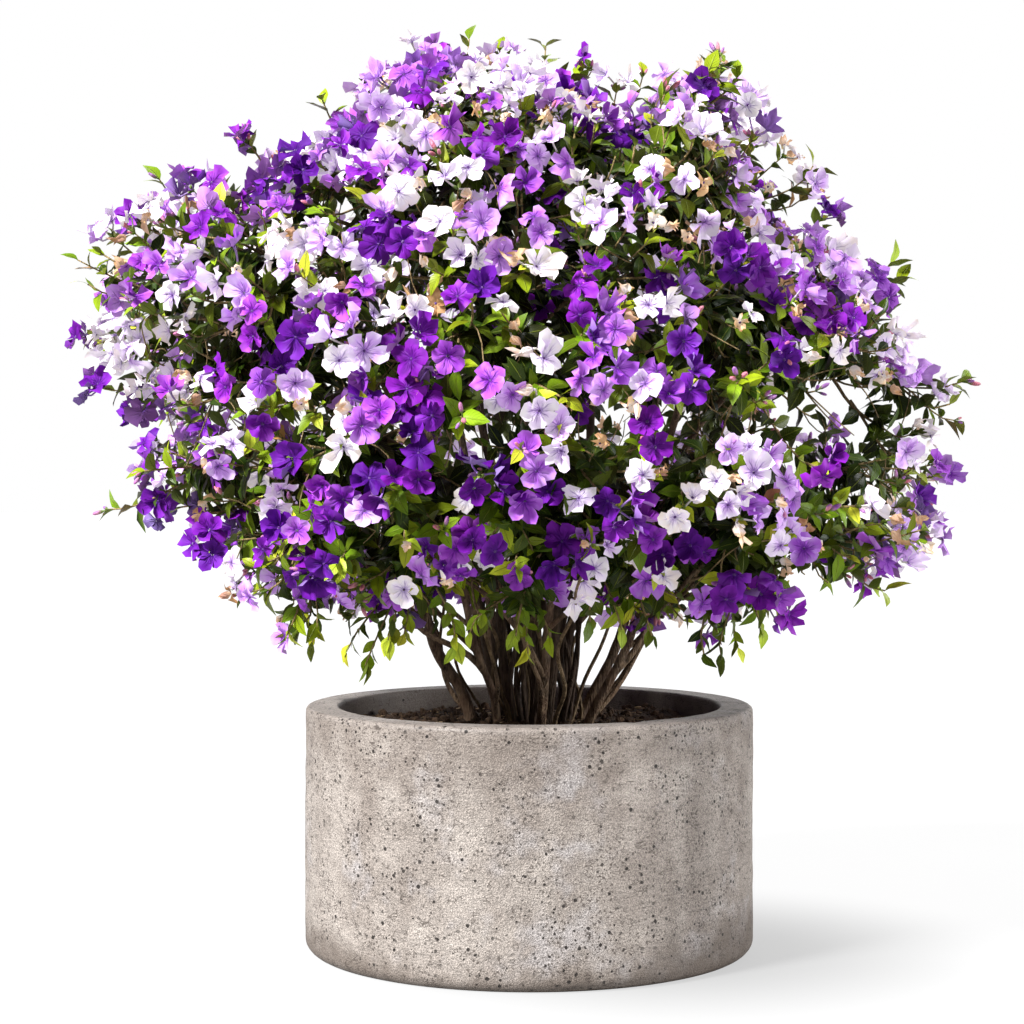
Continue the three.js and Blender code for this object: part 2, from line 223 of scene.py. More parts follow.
def mixColours(tree, share, first, second, blend="MIX"):
    inputs = {0: share, 6: first, 7: second}
    return addNode(tree, "Mix", inputs, data_type="RGBA", blend_type=blend).outputs[2]


# A colour times a level for red and a level for green and blue
def shaded(tree, base, red, rest):
    level = addNode(tree, "CombineColor", {0: red, 1: rest, 2: rest}).outputs[0]
    return mixColours(tree, 1.0, base, level, "MULTIPLY")


def attribute(tree, name):
    return addNode(tree, "Attribute", attribute_name=name).outputs["Fac"]


def objectPlace(tree):
    return addNode(tree, "TexCoord").outputs["Object"]


def stretched(tree, place, *scale):
    return addNode(tree, "Mapping", {"Vector": place, "Scale": scale}).outputs[0]


def noise(tree, place, scale, detail=2.0, roughness=0.5):
    inputs = {"Vector": place, "Scale": scale, "Detail": detail, "Roughness": roughness}
    return addNode(tree, "TexNoise", inputs).outputs["Fac"]


# Maps a range of a value smoothly to 0 to 1, or to the range given
def ranged(tree, value, low, high, toLow=0.0, toHigh=1.0):
    inputs = {"Value": value, "From Min": low, "From Max": high, "To Min": toLow, "To Max": toHigh}
    return addNode(tree, "MapRange", inputs, interpolation_type="SMOOTHSTEP").outputs["Result"]


def colour(red, green, blue):
    return (red, green, blue, 1.0)


# Starts a shader group over a vector, with named numbers in and out
def newGroup(name, numbers, results):
    group = bpy.data.node_groups.new(name, "ShaderNodeTree")
    group.interface.new_socket("Vector", in_out="INPUT", socket_type="NodeSocketVector")
    for key, value in numbers.items():
        socket = group.interface.new_socket(key, in_out="INPUT", socket_type="NodeSocketFloat")
        socket.default_value = value
    for key in results:
        group.interface.new_socket(key, in_out="OUTPUT", socket_type="NodeSocketFloat")
    return group, group.nodes.new("NodeGroupInput").outputs, group.nodes.new("NodeGroupOutput").inputs


# Broad blotches and fine grain over Object coordinates, as two values of 0 to 1
def mottleGroup():
    numbers = {"Broad": 6.0, "Fine": 160.0, "Detail": 1.0}
    group, given, result = newGroup("mottle", numbers, ["Blotch", "Grain"])
    for output, size in (("Blotch", "Broad"), ("Grain", "Fine")):
        level = noise(group, given["Vector"], given[size], given["Detail"], 0.6)
        group.links.new(ranged(group, level, 0.3, 0.7), result[output])
    return group


# Round spots of uneven size and number: 1 in a spot's middle, 0 outside
def speckleGroup():
    group, given, result = newGroup("speckle", {"Scale": 100.0, "Share": 0.4, "Size": 0.3}, ["Spot"])
    bend = addNode(group, "TexNoise", {"Vector": given["Vector"], "Scale": times(group, given["Scale"], 1.7)})
    nudge = addNode(group, "VectorMath", {0: bend.outputs["Color"], 1: [0.0025] * 3}, operation="MULTIPLY")
    place = addNode(group, "VectorMath", {0: given["Vector"], 1: nudge.outputs[0]}, operation="ADD")
    cells = addNode(group, "TexVoronoi", {"Vector": place.outputs[0], "Scale": given["Scale"]}).outputs
    draws = addNode(group, "SeparateColor", {0: cells["Color"]}).outputs
    chosen = calculate(group, "LESS_THAN", draws[0], given["Share"])
    reach = times(group, given["Size"], times(group, draws[1], 0.8, 0.35))
    depth = calculate(group, "SUBTRACT", 1.0, calculate(group, "DIVIDE", cells["Distance"], reach))
    group.links.new(times(group, ranged(group, depth, 0.0, 0.28), chosen), result["Spot"])
    return group


groups = {"mottle": mottleGroup(), "speckle": speckleGroup()}


# Places a shared group in a tree and gives its outputs
def placeGroup(tree, name, inputs):
    return addNode(tree, "Group", inputs, node_tree=groups[name]).outputs


def mottle(tree, place, broad, fine, detail=1.0):
    return placeGroup(tree, "mottle", {"Vector": place, "Broad": broad, "Fine": fine, "Detail": detail})


# Starts a material and gives its tree and its shader
def newMaterial(name, roughness, specular=0.5):
    material = bpy.data.materials.new(name)
    material.use_nodes = True
    shader = material.node_tree.nodes["Principled BSDF"]
    shader.inputs["Roughness"].default_value = roughness
    shader.inputs["Specular IOR Level"].default_value = specular
    return material, material.node_tree, shader


# Gives a shader its colour and its relief, whose depth is in metres
def finish(tree, shader, base, height, depth):
    bump = addNode(tree, "Bump", {"Height": height, "Distance": depth, "Strength": 1.0})
    tree.links.new(base, shader.inputs["Base Color"])
    tree.links.new(bump.outputs["Normal"], shader.inputs["Normal"])


# Planter. One profile is carried round the axis, with a slightly uneven cast surface.
planterLook = {
    "radius": 0.240, "height": 0.260, "wall": 0.036, "floor": 0.036, "lip": 0.005, "foot": 0.014,
    "lean": 0.0008, "steps": 216, "unevenness": 0.0006, "wear": 0.0016,
    "drainRadius": 0.011, "drainOut": 0.105, "drainFirst": 30,
    "light": colour(0.384, 0.342, 0.307), "dark": colour(0.160, 0.129, 0.110),
    # The pit colour is painted shade in the holes
    "haze": colour(0.50, 0.48, 0.49), "pit": colour(0.014, 0.010, 0.008),
    # The grime colour is grime and painted shade
    "speck": colour(0.060, 0.046, 0.038), "grimeAndShade": colour(0.105, 0.080, 0.063),
    # The worn colour is wear and a painted highlight
    "stain": colour(0.150, 0.118, 0.096), "worn": colour(0.46, 0.43, 0.41),
    # Cells in a metre, share of them that hold a spot, and its size as a share of its cell
    "spots": [(74.0, 0.62, 0.138), (128.0, 1.0, 0.250), (250.0, 1.0, 0.38)],
    # Where stains, grime and painted shade begin and end: heights, and distances from the axis for the inner
    # wall and the rim
    "grimeAndShadeHeights": (0.046, 0.006), "stainHeights": (0.165, 0.250), "lipHeights": (0.2562, 0.2580),
    "pitRow": 0.2500, "innerWall": (0.2065, 0.2045), "rimTop": (0.207, 0.214),
    "sealing": 0.35, "sealRoughness": 0.50, "relief": 0.0013,
}


# A quarter turn of a rounded corner: centre plus radius times cosine and sine
def cornerArc(cx, cz, radius, start, end, steps):
    turn = np.radians(np.linspace(start, end, steps))
    return np.stack([cx + radius * np.cos(turn), cz + radius * np.sin(turn)], -1)


def straightLine(start, end, steps):
    return np.linspace(start, end, steps + 2)[1:-1]


def concreteMaterial():
    look = planterLook
    material, tree, shader = newMaterial("cast_concrete", 0.88, 0.25)
    # A thin sealed sheen that shows at the silhouette
    shader.inputs["Coat Weight"].default_value = look["sealing"]
    shader.inputs["Coat Roughness"].default_value = look["sealRoughness"]
    place = objectPlace(tree)
    cloud = mottle(tree, place, 7.5, 620.0, 3.0)
    patch = mottle(tree, place, 27.0, 1100.0)
    tall = stretched(tree, place, 38.0, 38.0, 1.6)
    streak = noise(tree, tall, 1.0, 3.0)
    wide = stretched(tree, place, 60.0, 60.0, 420.0)
    band = noise(tree, wide, 1.0)
    tone = times(tree, cloud["Blotch"], 0.34, times(tree, patch["Blotch"], 0.26))
    tone = times(tree, ranged(tree, streak, 0.34, 0.66), 0.20, tone)
    base = mixColours(tree, tone, look["light"], look["dark"])
    bloom = noise(tree, place, 13.0, 3.0, 0.7)
    base = mixColours(tree, ranged(tree, bloom, 0.50, 0.72, 0.0, 0.48), base, look["haze"])
    # Sand grain, drawn out a little along the casting's layers
    grain = times(tree, cloud["Grain"], 0.70, times(tree, patch["Grain"], 0.66))
    grain = times(tree, ranged(tree, band, 0.3, 0.7), 0.22, grain)
    level = calculate(tree, "ADD", grain, 0.26)
    base = shaded(tree, base, level, level)
    aside, _, height = addNode(tree, "SeparateXYZ", {0: place}).outputs
    # Grime and painted shade at the foot, reaching higher at the sides and most on the shaded right side
    edge = times(tree, patch["Blotch"], 0.020, height)
    rise = times(tree, times(tree, aside, -0.55, -0.05), aside)
    edge = calculate(tree, "ADD", edge, rise)
    base = mixColours(tree, ranged(tree, edge, *look["grimeAndShadeHeights"], 0.0, 0.78), base, look["grimeAndShade"])
    damp = times(tree, streak, -0.050, height)
    damp = times(tree, patch["Blotch"], 0.030, damp)
    base = mixColours(tree, ranged(tree, damp, *look["stainHeights"], 0.0, 0.42), base, look["stain"])
    # The inner wall is painted dark with shade
    flat = addNode(tree, "VectorMath", {0: place, 1: (1.0, 1.0, 0.0)}, operation="MULTIPLY").outputs[0]
    away = addNode(tree, "VectorMath", {0: flat}, operation="LENGTH").outputs["Value"]
    base = mixColours(tree, ranged(tree, away, *look["innerWall"], 0.0, 0.60), base, look["grimeAndShade"])
    # The rounded lip is painted pale, partly wear and partly a painted highlight, with a row of pits under it
    ledge = times(tree, patch["Blotch"], 0.004, height)
    base = mixColours(tree, ranged(tree, ledge, *look["lipHeights"], 0.0, 0.08), base, look["worn"])
    under = calculate(tree, "ABSOLUTE", calculate(tree, "SUBTRACT", ledge, look["pitRow"]))
    crowd = noise(tree, place, 24.0)
    crowd = ranged(tree, crowd, 0.36, 0.58, 0.15, 1.0)
    crowd = calculate(tree, "MAXIMUM", crowd, ranged(tree, under, 0.0050, 0.0025))
    crowd = times(tree, crowd, ranged(tree, away, *look["rimTop"], 0.12, 1.0))
    spots = [
        placeGroup(tree, "speckle", {"Vector": place, "Scale": scale, "Share": share, "Size": size})["Spot"]
        for scale, share, size in look["spots"]
    ]
    pits = calculate(tree, "MAXIMUM", spots[0], times(tree, spots[1], crowd))
    # Hairline cracks: the borders of flattened cells, broken up into short strokes
    cells = stretched(tree, place, 120.0, 120.0, 260.0)
    border = addNode(tree, "TexVoronoi", {"Vector": cells, "Scale": 1.0}, feature="DISTANCE_TO_EDGE")
    broken = noise(tree, place, 95.0)
    cracks = ranged(tree, border.outputs["Distance"], 0.085, 0.02)
    cracks = times(tree, cracks, ranged(tree, broken, 0.54, 0.64))
    # Painted shade: the pits, and the tiny ones among the specks, are painted dark
    specks = calculate(tree, "MAXIMUM", times(tree, spots[2], crowd), cracks)
    base = mixColours(tree, times(tree, specks, 0.80), base, look["speck"])
    base = mixColours(tree, times(tree, pits, 0.96), base, look["pit"])
    finish(tree, shader, base, times(tree, pits, -1.6, times(tree, cloud["Grain"], 0.5)), look["relief"])
    return material


def makePlanter():
    look = planterLook
    radius, height, wall, lip, foot = (look[k] for k in ("radius", "height", "wall", "lip", "foot"))
    inner = radius - wall
    profile = np.concatenate([
        straightLine((0.0, 0.0), (radius - foot, 0.0), 16),
        cornerArc(radius - foot, foot, foot, -90, 0, 9),
        straightLine((radius, foot), (radius - look["lean"], height - lip), 34),
        cornerArc(radius - look["lean"] - lip, height - lip, lip, 0, 90, 8),
        straightLine((radius - lip, height), (inner + lip * 0.7, height), 6),
        cornerArc(inner + lip * 0.7, height - lip * 0.7, lip * 0.7, 90, 180, 6),
        straightLine((inner, height - lip * 0.7), (inner, look["floor"]), 14),
        straightLine((inner, look["floor"]), (0.0, look["floor"]), 12),
    ])
    rings = spun(*profile.T, look["steps"])
    wave = ripple(rings, 0.16, 3) * 0.6 + ripple(rings, 0.035, 4) * 0.4
    free = np.clip(rings[..., 2:] / 0.02, 0, 1)
    rings = rings + unit(rings * [1, 1, 0]) * (wave[..., None] * look["unevenness"] * free)
    worn = np.clip(ripple(rings, 0.05, 5) - 0.9, 0, 1) * (rings[..., 2] > height - lip * 1.1)
    rings[..., 2] -= worn * look["wear"]
    parts = Parts()
    parts.addSkin(rings, 0.0, look["floor"])
    planter = makePiece("concrete_planter", parts, [concreteMaterial()], ["planter"])
    for i in range(3):
        place = sideways(math.radians(look["drainFirst"] + 120 * i)) * look["drainOut"]
        bpy.ops.mesh.primitive_cylinder_add(
            vertices=40, radius=look["drainRadius"], depth=look["floor"] * 3, location=place)
        cutter = bpy.context.object
        cut = planter.modifiers.new("drain", "BOOLEAN")
        cut.object, cut.operation, cut.solver = cutter, "DIFFERENCE", "EXACT"
        shape = bpy.data.meshes.new_from_object(planter.evaluated_get(bpy.context.evaluated_depsgraph_get()))
        planter.modifiers.clear()
        planter.data = shape
        bpy.data.objects.remove(cutter)


# Soil. A lumpy surface inside the rim, with loose crumbs, bark chips and fibres on it.
soilLook = {
    "level": 0.2335, "mound": 0.009, "reach": 0.2036, "steps": 180, "rings": 52, "clearance": 0.0003,
    "crumbs": 1100, "crumbSize": (0.0014, 0.0044),
    # Count, length, thickness and share of their height
    "fibres": (220, 0.020, 0.00035, 1.0), "chips": (150, 0.011, 0.0016, 0.35),
    # Banks against the wall: their middle's x and y, height and spread squared
    "banks": [(0.155, 0.115, 0.009, 0.0011), (-0.165, 0.075, 0.006, 0.0009)],
    "dark": colour(0.009, 0.006, 0.0042), "light": colour(0.165, 0.100, 0.060),
    "straw": colour(0.62, 0.44, 0.26), "relief": 0.0016,
}


# Height of the soil: a low mound from the rim to the middle, with broad swells, clods and fine lumps
def soilHeight(x, y):
    out = np.hypot(x, y) / soilLook["reach"]
    flat = np.stack([x, y, np.zeros_like(x)], -1)
    swell = ripple(flat, 0.13, 31) * 0.0022 + ripple(flat, 0.034, 32) * 0.0018
    swell += ripple(flat, 0.013, 33) * 0.0011
    banks = sum(
        high * np.exp(-((x - middleX) ** 2 + (y - middleY) ** 2) / spread)
        for middleX, middleY, high, spread in soilLook["banks"])
    return soilLook["level"] + soilLook["mound"] * (1 - out ** 2) + swell + banks


def soilMaterial():
    look = soilLook
    material, tree, shader = newMaterial("damp_soil", 0.93, 0.25)
    place = objectPlace(tree)
    lumps = mottle(tree, place, 70.0, 520.0)
    tint = attribute(tree, "tint")
    tone = times(tree, lumps["Blotch"], 0.45, times(tree, lumps["Grain"], 0.30))
    tone = times(tree, calculate(tree, "POWER", tint, 2.0), 0.7, tone)
    base = mixColours(tree, tone, look["dark"], look["light"])
    base = mixColours(tree, ranged(tree, tint, 0.86, 0.96), base, look["straw"])
    finish(tree, shader, base, calculate(tree, "ADD", lumps["Grain"], lumps["Blotch"]), look["relief"])
    return material


def makeSoil():
    look = soilLook
    out = look["reach"] * np.linspace(0.012, 1, look["rings"]) ** 0.9
    top = spun(out, 0 * out, look["steps"])[::-1].copy()
    top[..., 2] = soilHeight(top[..., 0], top[..., 1])
    side = np.broadcast_to(top[:1], (5, *top.shape[1:])).copy()
    floor = planterLook["floor"]
    side[..., 2] = floor + look["clearance"] + (top[0, :, 2] - floor) * np.linspace(0, 0.9, 5)[:, None]
    parts = Parts()
    middle = soilHeight(np.zeros(1), np.zeros(1))[0]
    parts.addSkin(np.concatenate([side, top]), floor + look["clearance"], middle, tint=0.2)
    material = soilMaterial()
    makePiece("soil_body", parts, [material], ["potting_soil"])

    # Crumbs: small spheres with uneven radii, pressed into the surface
    count = look["crumbs"]
    away = look["reach"] * np.sqrt(rng.uniform(0.0, 0.94, count))
    turn = rng.uniform(0, fullTurn, count)
    size = look["crumbSize"][0] + look["crumbSize"][1] * rng.uniform(0, 1, count) ** 3
    lift = np.linspace(-0.5, 0.5, 5)[1:-1] * math.pi
    ball = np.concatenate([spun(np.cos(lift), np.sin(lift), 6).reshape(-1, 3), [[0, 0, -1], [0, 0, 1]]])
    x, y = away * np.cos(turn), away * np.sin(turn)
    place = np.stack([x, y, soilHeight(x, y) + size * 0.25], -1)
    stretch = rng.uniform(0.65, 1.25, (count, 1, 3)) * rng.uniform(0.78, 1.2, (count, len(ball), 1))
    crumbs = place[:, None] + ball[None] * stretch * size[:, None, None]
    faces = [repeated(faces, count, len(ball)) for faces in ringFaces(3, 6)]
    parts = Parts()
    parts.add(crumbs, *faces, values={"tint": np.repeat(rng.uniform(0, 0.8, count), len(ball))})

    # Fibres and bark chips: short bent tubes, the chips flattened to slivers
    for count, length, thickness, flat in (look["fibres"], look["chips"]):
        away = look["reach"] * np.sqrt(rng.uniform(0.0, 0.86, count))
        turn = rng.uniform(0, fullTurn, count)
        x, y = away * np.cos(turn), away * np.sin(turn)
        start = np.stack([x, y, soilHeight(x, y) + 0.0010], -1)
        course = rng.uniform(0, fullTurn, count)
        step = np.stack([np.cos(course), np.sin(course), rng.uniform(-0.05, 0.12, count)], -1) * (
            length * rng.uniform(0.4, 1.0, (count, 1)) / 3)
        bend = rng.normal(0, length * 0.10, (count, 3)) * [1, 1, 0.25]
        corners = np.stack([start, start + step + bend, start + 2 * step + bend, start + 3 * step], 1)
        points, way = bezier(corners, np.linspace(0, 1, 6)[None])
        vertices, quads, triangles = tubes(points, way, np.full((count, 6, 1), thickness), 4)
        ground = soilHeight(vertices[..., 0], vertices[..., 1])
        vertices[..., 2] = np.maximum(vertices[..., 2], ground - 0.0004)
        vertices[..., 2] = points[:, :1, 2] + (vertices[..., 2] - points[:, :1, 2]) * flat
        tint = np.repeat(rng.choice([0.5, 0.75, 0.93, 0.99], count), vertices.shape[1])
        parts.add(vertices, quads, triangles, values={"tint": tint})
    makePiece("soil_crumbs", parts, [material], ["potting_soil"])


# Crown. Its outline from the front is a radius at even steps from +X towards +Z, and its half depth is even.
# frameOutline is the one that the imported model's stems and hubs follow. The other holds the leafy surface.
crown = {
    "middle": np.array([-0.008, 0.0, 0.590]), "halfDepth": 0.432, "hubShare": 0.6, "lumps": 0.045,
    "frameOutline": np.array([
        0.526, 0.480, 0.404, 0.402, 0.386, 0.384, 0.380, 0.400, 0.480,
        0.492, 0.420, 0.356, 0.300, 0.262, 0.255, 0.295, 0.368, 0.476,
    ]),
    "outline": np.array([
        0.430, 0.450, 0.404, 0.352, 0.350, 0.420, 0.460, 0.318, 0.346, 0.350, 0.378, 0.402,
        0.396, 0.384, 0.354, 0.450, 0.524, 0.482, 0.428, 0.424, 0.416, 0.406, 0.406, 0.334,
        0.280, 0.240, 0.232, 0.232, 0.240, 0.264, 0.290, 0.348, 0.382, 0.450, 0.520, 0.498,
    ]),
}
# Rings of flowering branches: how many, degrees above the middle, and the first one's degrees from +X
branchRings = [(7, -24, 25), (8, 11, 0), (5, 48, 18), (1, 90, 0)]
stemLook = {
    "originZ": 0.107, "startZ": 0.183, "youngZ": 0.195, "soilZ": 0.231, "forkZ": 0.392,
    "spread": 2.05, "taper": 0.72,
    "outer": [
        (0.064, 0.0062), (0.057, 0.0052), (0.052, 0.0051), (0.060, 0.0074), (0.054, 0.0048),
        (0.056, 0.0054), (0.066, 0.0057),
    ],
    "inner": (0.033, 0.0054, 0.200, 0.160), "centre": (0.004, 0.0062, 0.220, 0.220),
    "lowLimb": (0.055, 0.062), "highLimb": (0.110, 0.085), "hubRadius": 0.0036, "lean": 0.3, "rise": 0.075,
    "settle": 0.065, "bend": 0.0042, "knots": 0.05,
}


# Distance from the crown's middle to an outline's surface along each direction
def reachOf(way, outline):
    place = np.degrees(np.arctan2(way[..., 2], way[..., 0])) % 360 / 360 * len(outline)
    low = np.floor(place).astype(int) % len(outline)
    ease = 0.5 - 0.5 * np.cos((place - np.floor(place)) * math.pi)
    flat = outline[low] * (1 - ease) + outline[(low + 1) % len(outline)] * ease
    return 1 / np.hypot(np.hypot(way[..., 0], way[..., 2]) / flat, way[..., 1] / crown["halfDepth"])


# How far out points lie, as a share of the leafy crown's reach
def shareOut(points):
    offset = points - crown["middle"]
    return np.linalg.norm(offset, axis=-1) / reachOf(unit(offset), crown["outline"])


def headingAt(azimuth, elevation):
    a, e = np.radians(azimuth), np.radians(elevation)
    return np.stack([np.cos(a) * np.cos(e), np.sin(a) * np.cos(e), np.sin(e) + 0 * a], -1)


branchRing = np.concatenate([np.full(count, i) for i, (count, _, _) in enumerate(branchRings)])
branchAzimuth = np.concatenate([first + 360 / count * np.arange(count) for count, _, first in branchRings])
branchAxis = headingAt(branchAzimuth, np.array([branchRings[i][1] for i in branchRing], float))
branchReach = reachOf(branchAxis, crown["frameOutline"])
branchHub = crown["middle"] + branchAxis * (branchReach * crown["hubShare"])[:, None]
branchCount = len(branchHub)


barkLook = {
    "crack": colour(0.022, 0.013, 0.009), "ridge": colour(0.37, 0.255, 0.160),
    "russet": colour(0.095, 0.042, 0.024), "shaded": colour(0.030, 0.018, 0.012),
    "youngCrack": colour(0.130, 0.105, 0.030), "youngRidge": colour(0.52, 0.37, 0.16), "relief": 0.0012,
}


# Bark over Object coordinates: grain drawn out along the height, darker in the cracks, green where young, and
# painted darker as shade where the age passes 1
def barkMaterial():
    look = barkLook
    material, tree, shader = newMaterial("bark", 0.82, 0.3)
    place = objectPlace(tree)
    ageAndShade = attribute(tree, "age")
    grain = mottle(tree, stretched(tree, place, 1.0, 1.0, 0.12), 130.0, 620.0)
    patch = mottle(tree, place, 38.0, 240.0)
    tone = times(tree, grain["Blotch"], 0.5, times(tree, grain["Grain"], 0.3))
    tone = times(tree, patch["Grain"], 0.2, tone)
    wood = mixColours(tree, tone, look["crack"], look["ridge"])
    wood = mixColours(tree, times(tree, patch["Blotch"], 0.50), wood, look["russet"])
    # Painted shade: an age past 1 darkens the bark towards the shaded colour
    wood = mixColours(tree, ranged(tree, ageAndShade, 1.0, 2.0, 0.0, 0.80), wood, look["shaded"])
    young = mixColours(tree, tone, look["youngCrack"], look["youngRidge"])
    base = mixColours(tree, ageAndShade, young, wood)
    finish(tree, shader, base, calculate(tree, "ADD", grain["Blotch"], grain["Grain"]), look["relief"])
    return material


bark = barkMaterial()


# Thickness along tubes, with slow swellings and a knot where side shoots left
def knotted(points, radius, seed):
    swell = ripple(points, 0.05, seed) * 0.05 + ripple(points, 0.017, seed + 1) * 0.035
    knots = np.clip(ripple(points, 0.060, seed + 2) - 1.1, 0, 1) * stemLook["knots"] * 3
    return radius * (1 + swell + knots)


# Adds a limb along a curve, with a slow sway and a ridged, knotted skin, and gives its course
def addLimb(parts, corners, startRadius, endRadius, sides, steps, seed, age=1.0, bend=1.0):
    corners = np.asarray(corners, float)[None]
    t = np.linspace(0, 1, steps)
    points, way = bezier(corners, t[None])
    length = np.linalg.norm(corners[0, 3] - corners[0, 0])
    first, second = sidesOf(way)
    sway = np.sin(t * math.pi)[None, :, None] * stemLook["bend"] * bend * min(1, length / 0.2)
    points = points + sway * (
        first * ripple(points, 0.14, seed)[..., None] + second * ripple(points, 0.11, seed + 5)[..., None])
    radius = startRadius + (endRadius - startRadius) * t[None] ** 0.85
    radius = knotted(points, radius, seed + 9)
    turn = np.arange(sides) / sides * fullTurn
    ridges = 1 + 0.05 * np.sin(turn * 3 + seed) + 0.03 * np.sin(turn * 5 - seed)
    parts.addTubes(points, way, radius[..., None] * ridges, sides, age=age)
    return points[0], way[0]


# A point at a height on a stem of the fan that leaves the root crown, and the stem's heading in the soil
def fanPoint(azimuth, out, z):
    share = (z - stemLook["originZ"]) / (stemLook["soilZ"] - stemLook["originZ"])
    return np.array([math.cos(azimuth) * out * share, math.sin(azimuth) * out * share, z])


# Where such a stem starts, and the way it rises
def fanStart(azimuth, out, z):
    start = fanPoint(azimuth, out, z)
    return start, unit(fanPoint(azimuth, out, stemLook["soilZ"]) - start)


# A stem's corners from its top on: along its heading, then into the branch's axis at its hub
def limbCorners(start, heading, branch, lead, arrive):
    return bent(start, heading * lead, branchAxis[branch] * arrive, branchHub[branch])


def makeStems():
    look = stemLook
    low, middle = np.flatnonzero(branchRing == 0), np.flatnonzero(branchRing == 1)
    gap = np.abs((branchAzimuth[middle][:, None] - branchAzimuth[low][None] + 180) % 360 - 180)
    carrier = gap.argmin(1)
    for i, branch in enumerate(low):
        out, radius = look["outer"][i]
        azimuth = math.radians(branchAzimuth[branch])
        side = sideways(azimuth)
        heading = unit(upward + look["lean"] * side)
        start, rising = fanStart(azimuth, out, look["startZ"])
        top = side * out * look["spread"] + upward * look["forkZ"]
        fork = radius * look["taper"]
        parts = Parts()
        trunkCorners = bent(start, rising * look["rise"], heading * look["settle"], top)
        trunk, way = addLimb(parts, trunkCorners, radius * 1.02, fork, 16, 44, 50 + i)
        addLimb(parts, limbCorners(top - heading * 0.004, heading, branch, *look["lowLimb"]),
                fork, look["hubRadius"], 12, 26, 70 + i)
        for j in middle[carrier == i]:
            addLimb(parts, limbCorners(top - heading * 0.004, heading, j, *look["highLimb"]),
                    fork, look["hubRadius"], 12, 30, 90 + j)
        addSuckers(parts, azimuth, out, trunk, way, 120 + i)
        makePiece(f"stem_with_limbs_{i + 1:02d}", parts, [bark], [f"stem_{i + 1:02d}"])
    inner = np.flatnonzero(branchRing >= 2)
    for i, branch in enumerate(inner):
        out, radius, lead, arrive = look["inner"] if branchRing[branch] == 2 else look["centre"]
        azimuth = math.radians(branchAzimuth[branch])
        start, rising = fanStart(azimuth, out, look["startZ"])
        parts = Parts()
        corners = limbCorners(start, rising, branch, lead, arrive)
        # Inner stems take an age past 1, which paints their bark darker as shade
        addLimb(parts, corners, radius * 1.06, look["hubRadius"], 16, 60, 140 + i, 1.7)
        addCompanions(parts, azimuth, out, 160 + i)
        makePiece(f"inner_stem_{i + 1:02d}", parts, [bark], [f"stem_{i + 8:02d}"])


# Thin stems, painted dark as shade, that rise close beside an inner stem and fill the middle of the clump
def addCompanions(parts, azimuth, out, seed):
    draw = np.random.default_rng(seed)
    for i in range(4):
        turn = azimuth + draw.uniform(-0.9, 0.9)
        away = out + draw.uniform(0.002, 0.016)
        start, rising = fanStart(turn, away, stemLook["youngZ"])
        side = sideways(turn)
        end = side * (away * draw.uniform(1.2, 1.8) + 0.012) + upward * draw.uniform(0.42, 0.48)
        corners = bent(start, rising * 0.09, unit(upward * 2 + side) * 0.09, end)
        addLimb(parts, corners, draw.uniform(0.0026, 0.0040), 0.0018, 8, 22, seed + 20 * i, 1.8, 1.6)


# Thin young stems that rise beside an outer stem and lean across its neighbours, and forked side shoots
def addSuckers(parts, azimuth, out, trunk, way, seed):
    draw = np.random.default_rng(seed)
    for i in range(3):
        turn = azimuth + draw.uniform(-0.6, 0.6)
        away = out * draw.uniform(0.25, 0.95)
        start, rising = fanStart(turn, away, stemLook["youngZ"])
        turn += draw.normal(0, 0.5)
        side = sideways(turn)
        end = side * away * draw.uniform(1.6, 4.4) + upward * draw.uniform(0.40, 0.48)
        corners = bent(start, rising * 0.08, unit(upward * draw.uniform(0.4, 1.2) + side) * 0.09, end)
        addLimb(parts, corners, draw.uniform(0.0016, 0.0034), 0.0014, 8, 22, seed + 20 * i, 0.8, 1.8)
    for i, share in enumerate((0.32, 0.54, 0.78)):
        place = int(share * (len(trunk) - 1))
        turn = azimuth + draw.choice([-1, 1]) * draw.uniform(0.35, 1.2)
        side = sideways(turn)
        start = trunk[place]
        span = draw.uniform(0.12, 0.19)
        end = start + side * span * draw.uniform(0.5, 0.95) + upward * span * draw.uniform(0.5, 0.9)
        end[2] = max(end[2], 0.39)
        corners = bent(start, unit(way[place] + side * 0.6) * span * 0.35, unit(side + upward) * 0.04, end)
        radius = draw.uniform(0.0024, 0.0040)
        fork, heading = addLimb(parts, corners, radius, 0.0017, 8, 18, seed + 7 * i + 3, 0.95, 1.6)
        start, heading = fork[7], heading[7]
        end = start + (unit(heading + draw.normal(0, 0.4, 3)) + upward * 0.5) * span * 0.5
        end[2] = max(end[2], 0.40)
        corners = bent(start, heading * span * 0.15, unit(heading + upward) * 0.02, end)
        addLimb(parts, corners, 0.0019, 0.0012, 6, 10, seed + 11 * i, 0.75, 1.0)


rootLook = {"low": 0.1503, "high": 0.1917, "radius": 0.0635, "steps": 60, "rings": 16}


# The woody crown that the stems leave, hidden under the soil: a flattened, lumpy ball
def makeRootCrown():
    low, high, radius = (rootLook[k] for k in ("low", "high", "radius"))
    lift = np.linspace(-0.5, 0.5, rootLook["rings"]) * math.pi
    out = radius * np.cos(lift) ** 0.35
    out[0] = out[-1] = 0.004
    z = (low + high) / 2 + (high - low) / 2 * np.sin(lift) * 0.98
    grid = spun(out, z, rootLook["steps"])
    grid[..., :2] *= 0.93 + 0.055 * ripple(grid, 0.03, 41)[..., None].clip(-1, 1)
    parts = Parts()
    parts.addSkin(grid, low, high, age=1.0)
    makePiece("root_collar", parts, [bark], ["root_crown"])


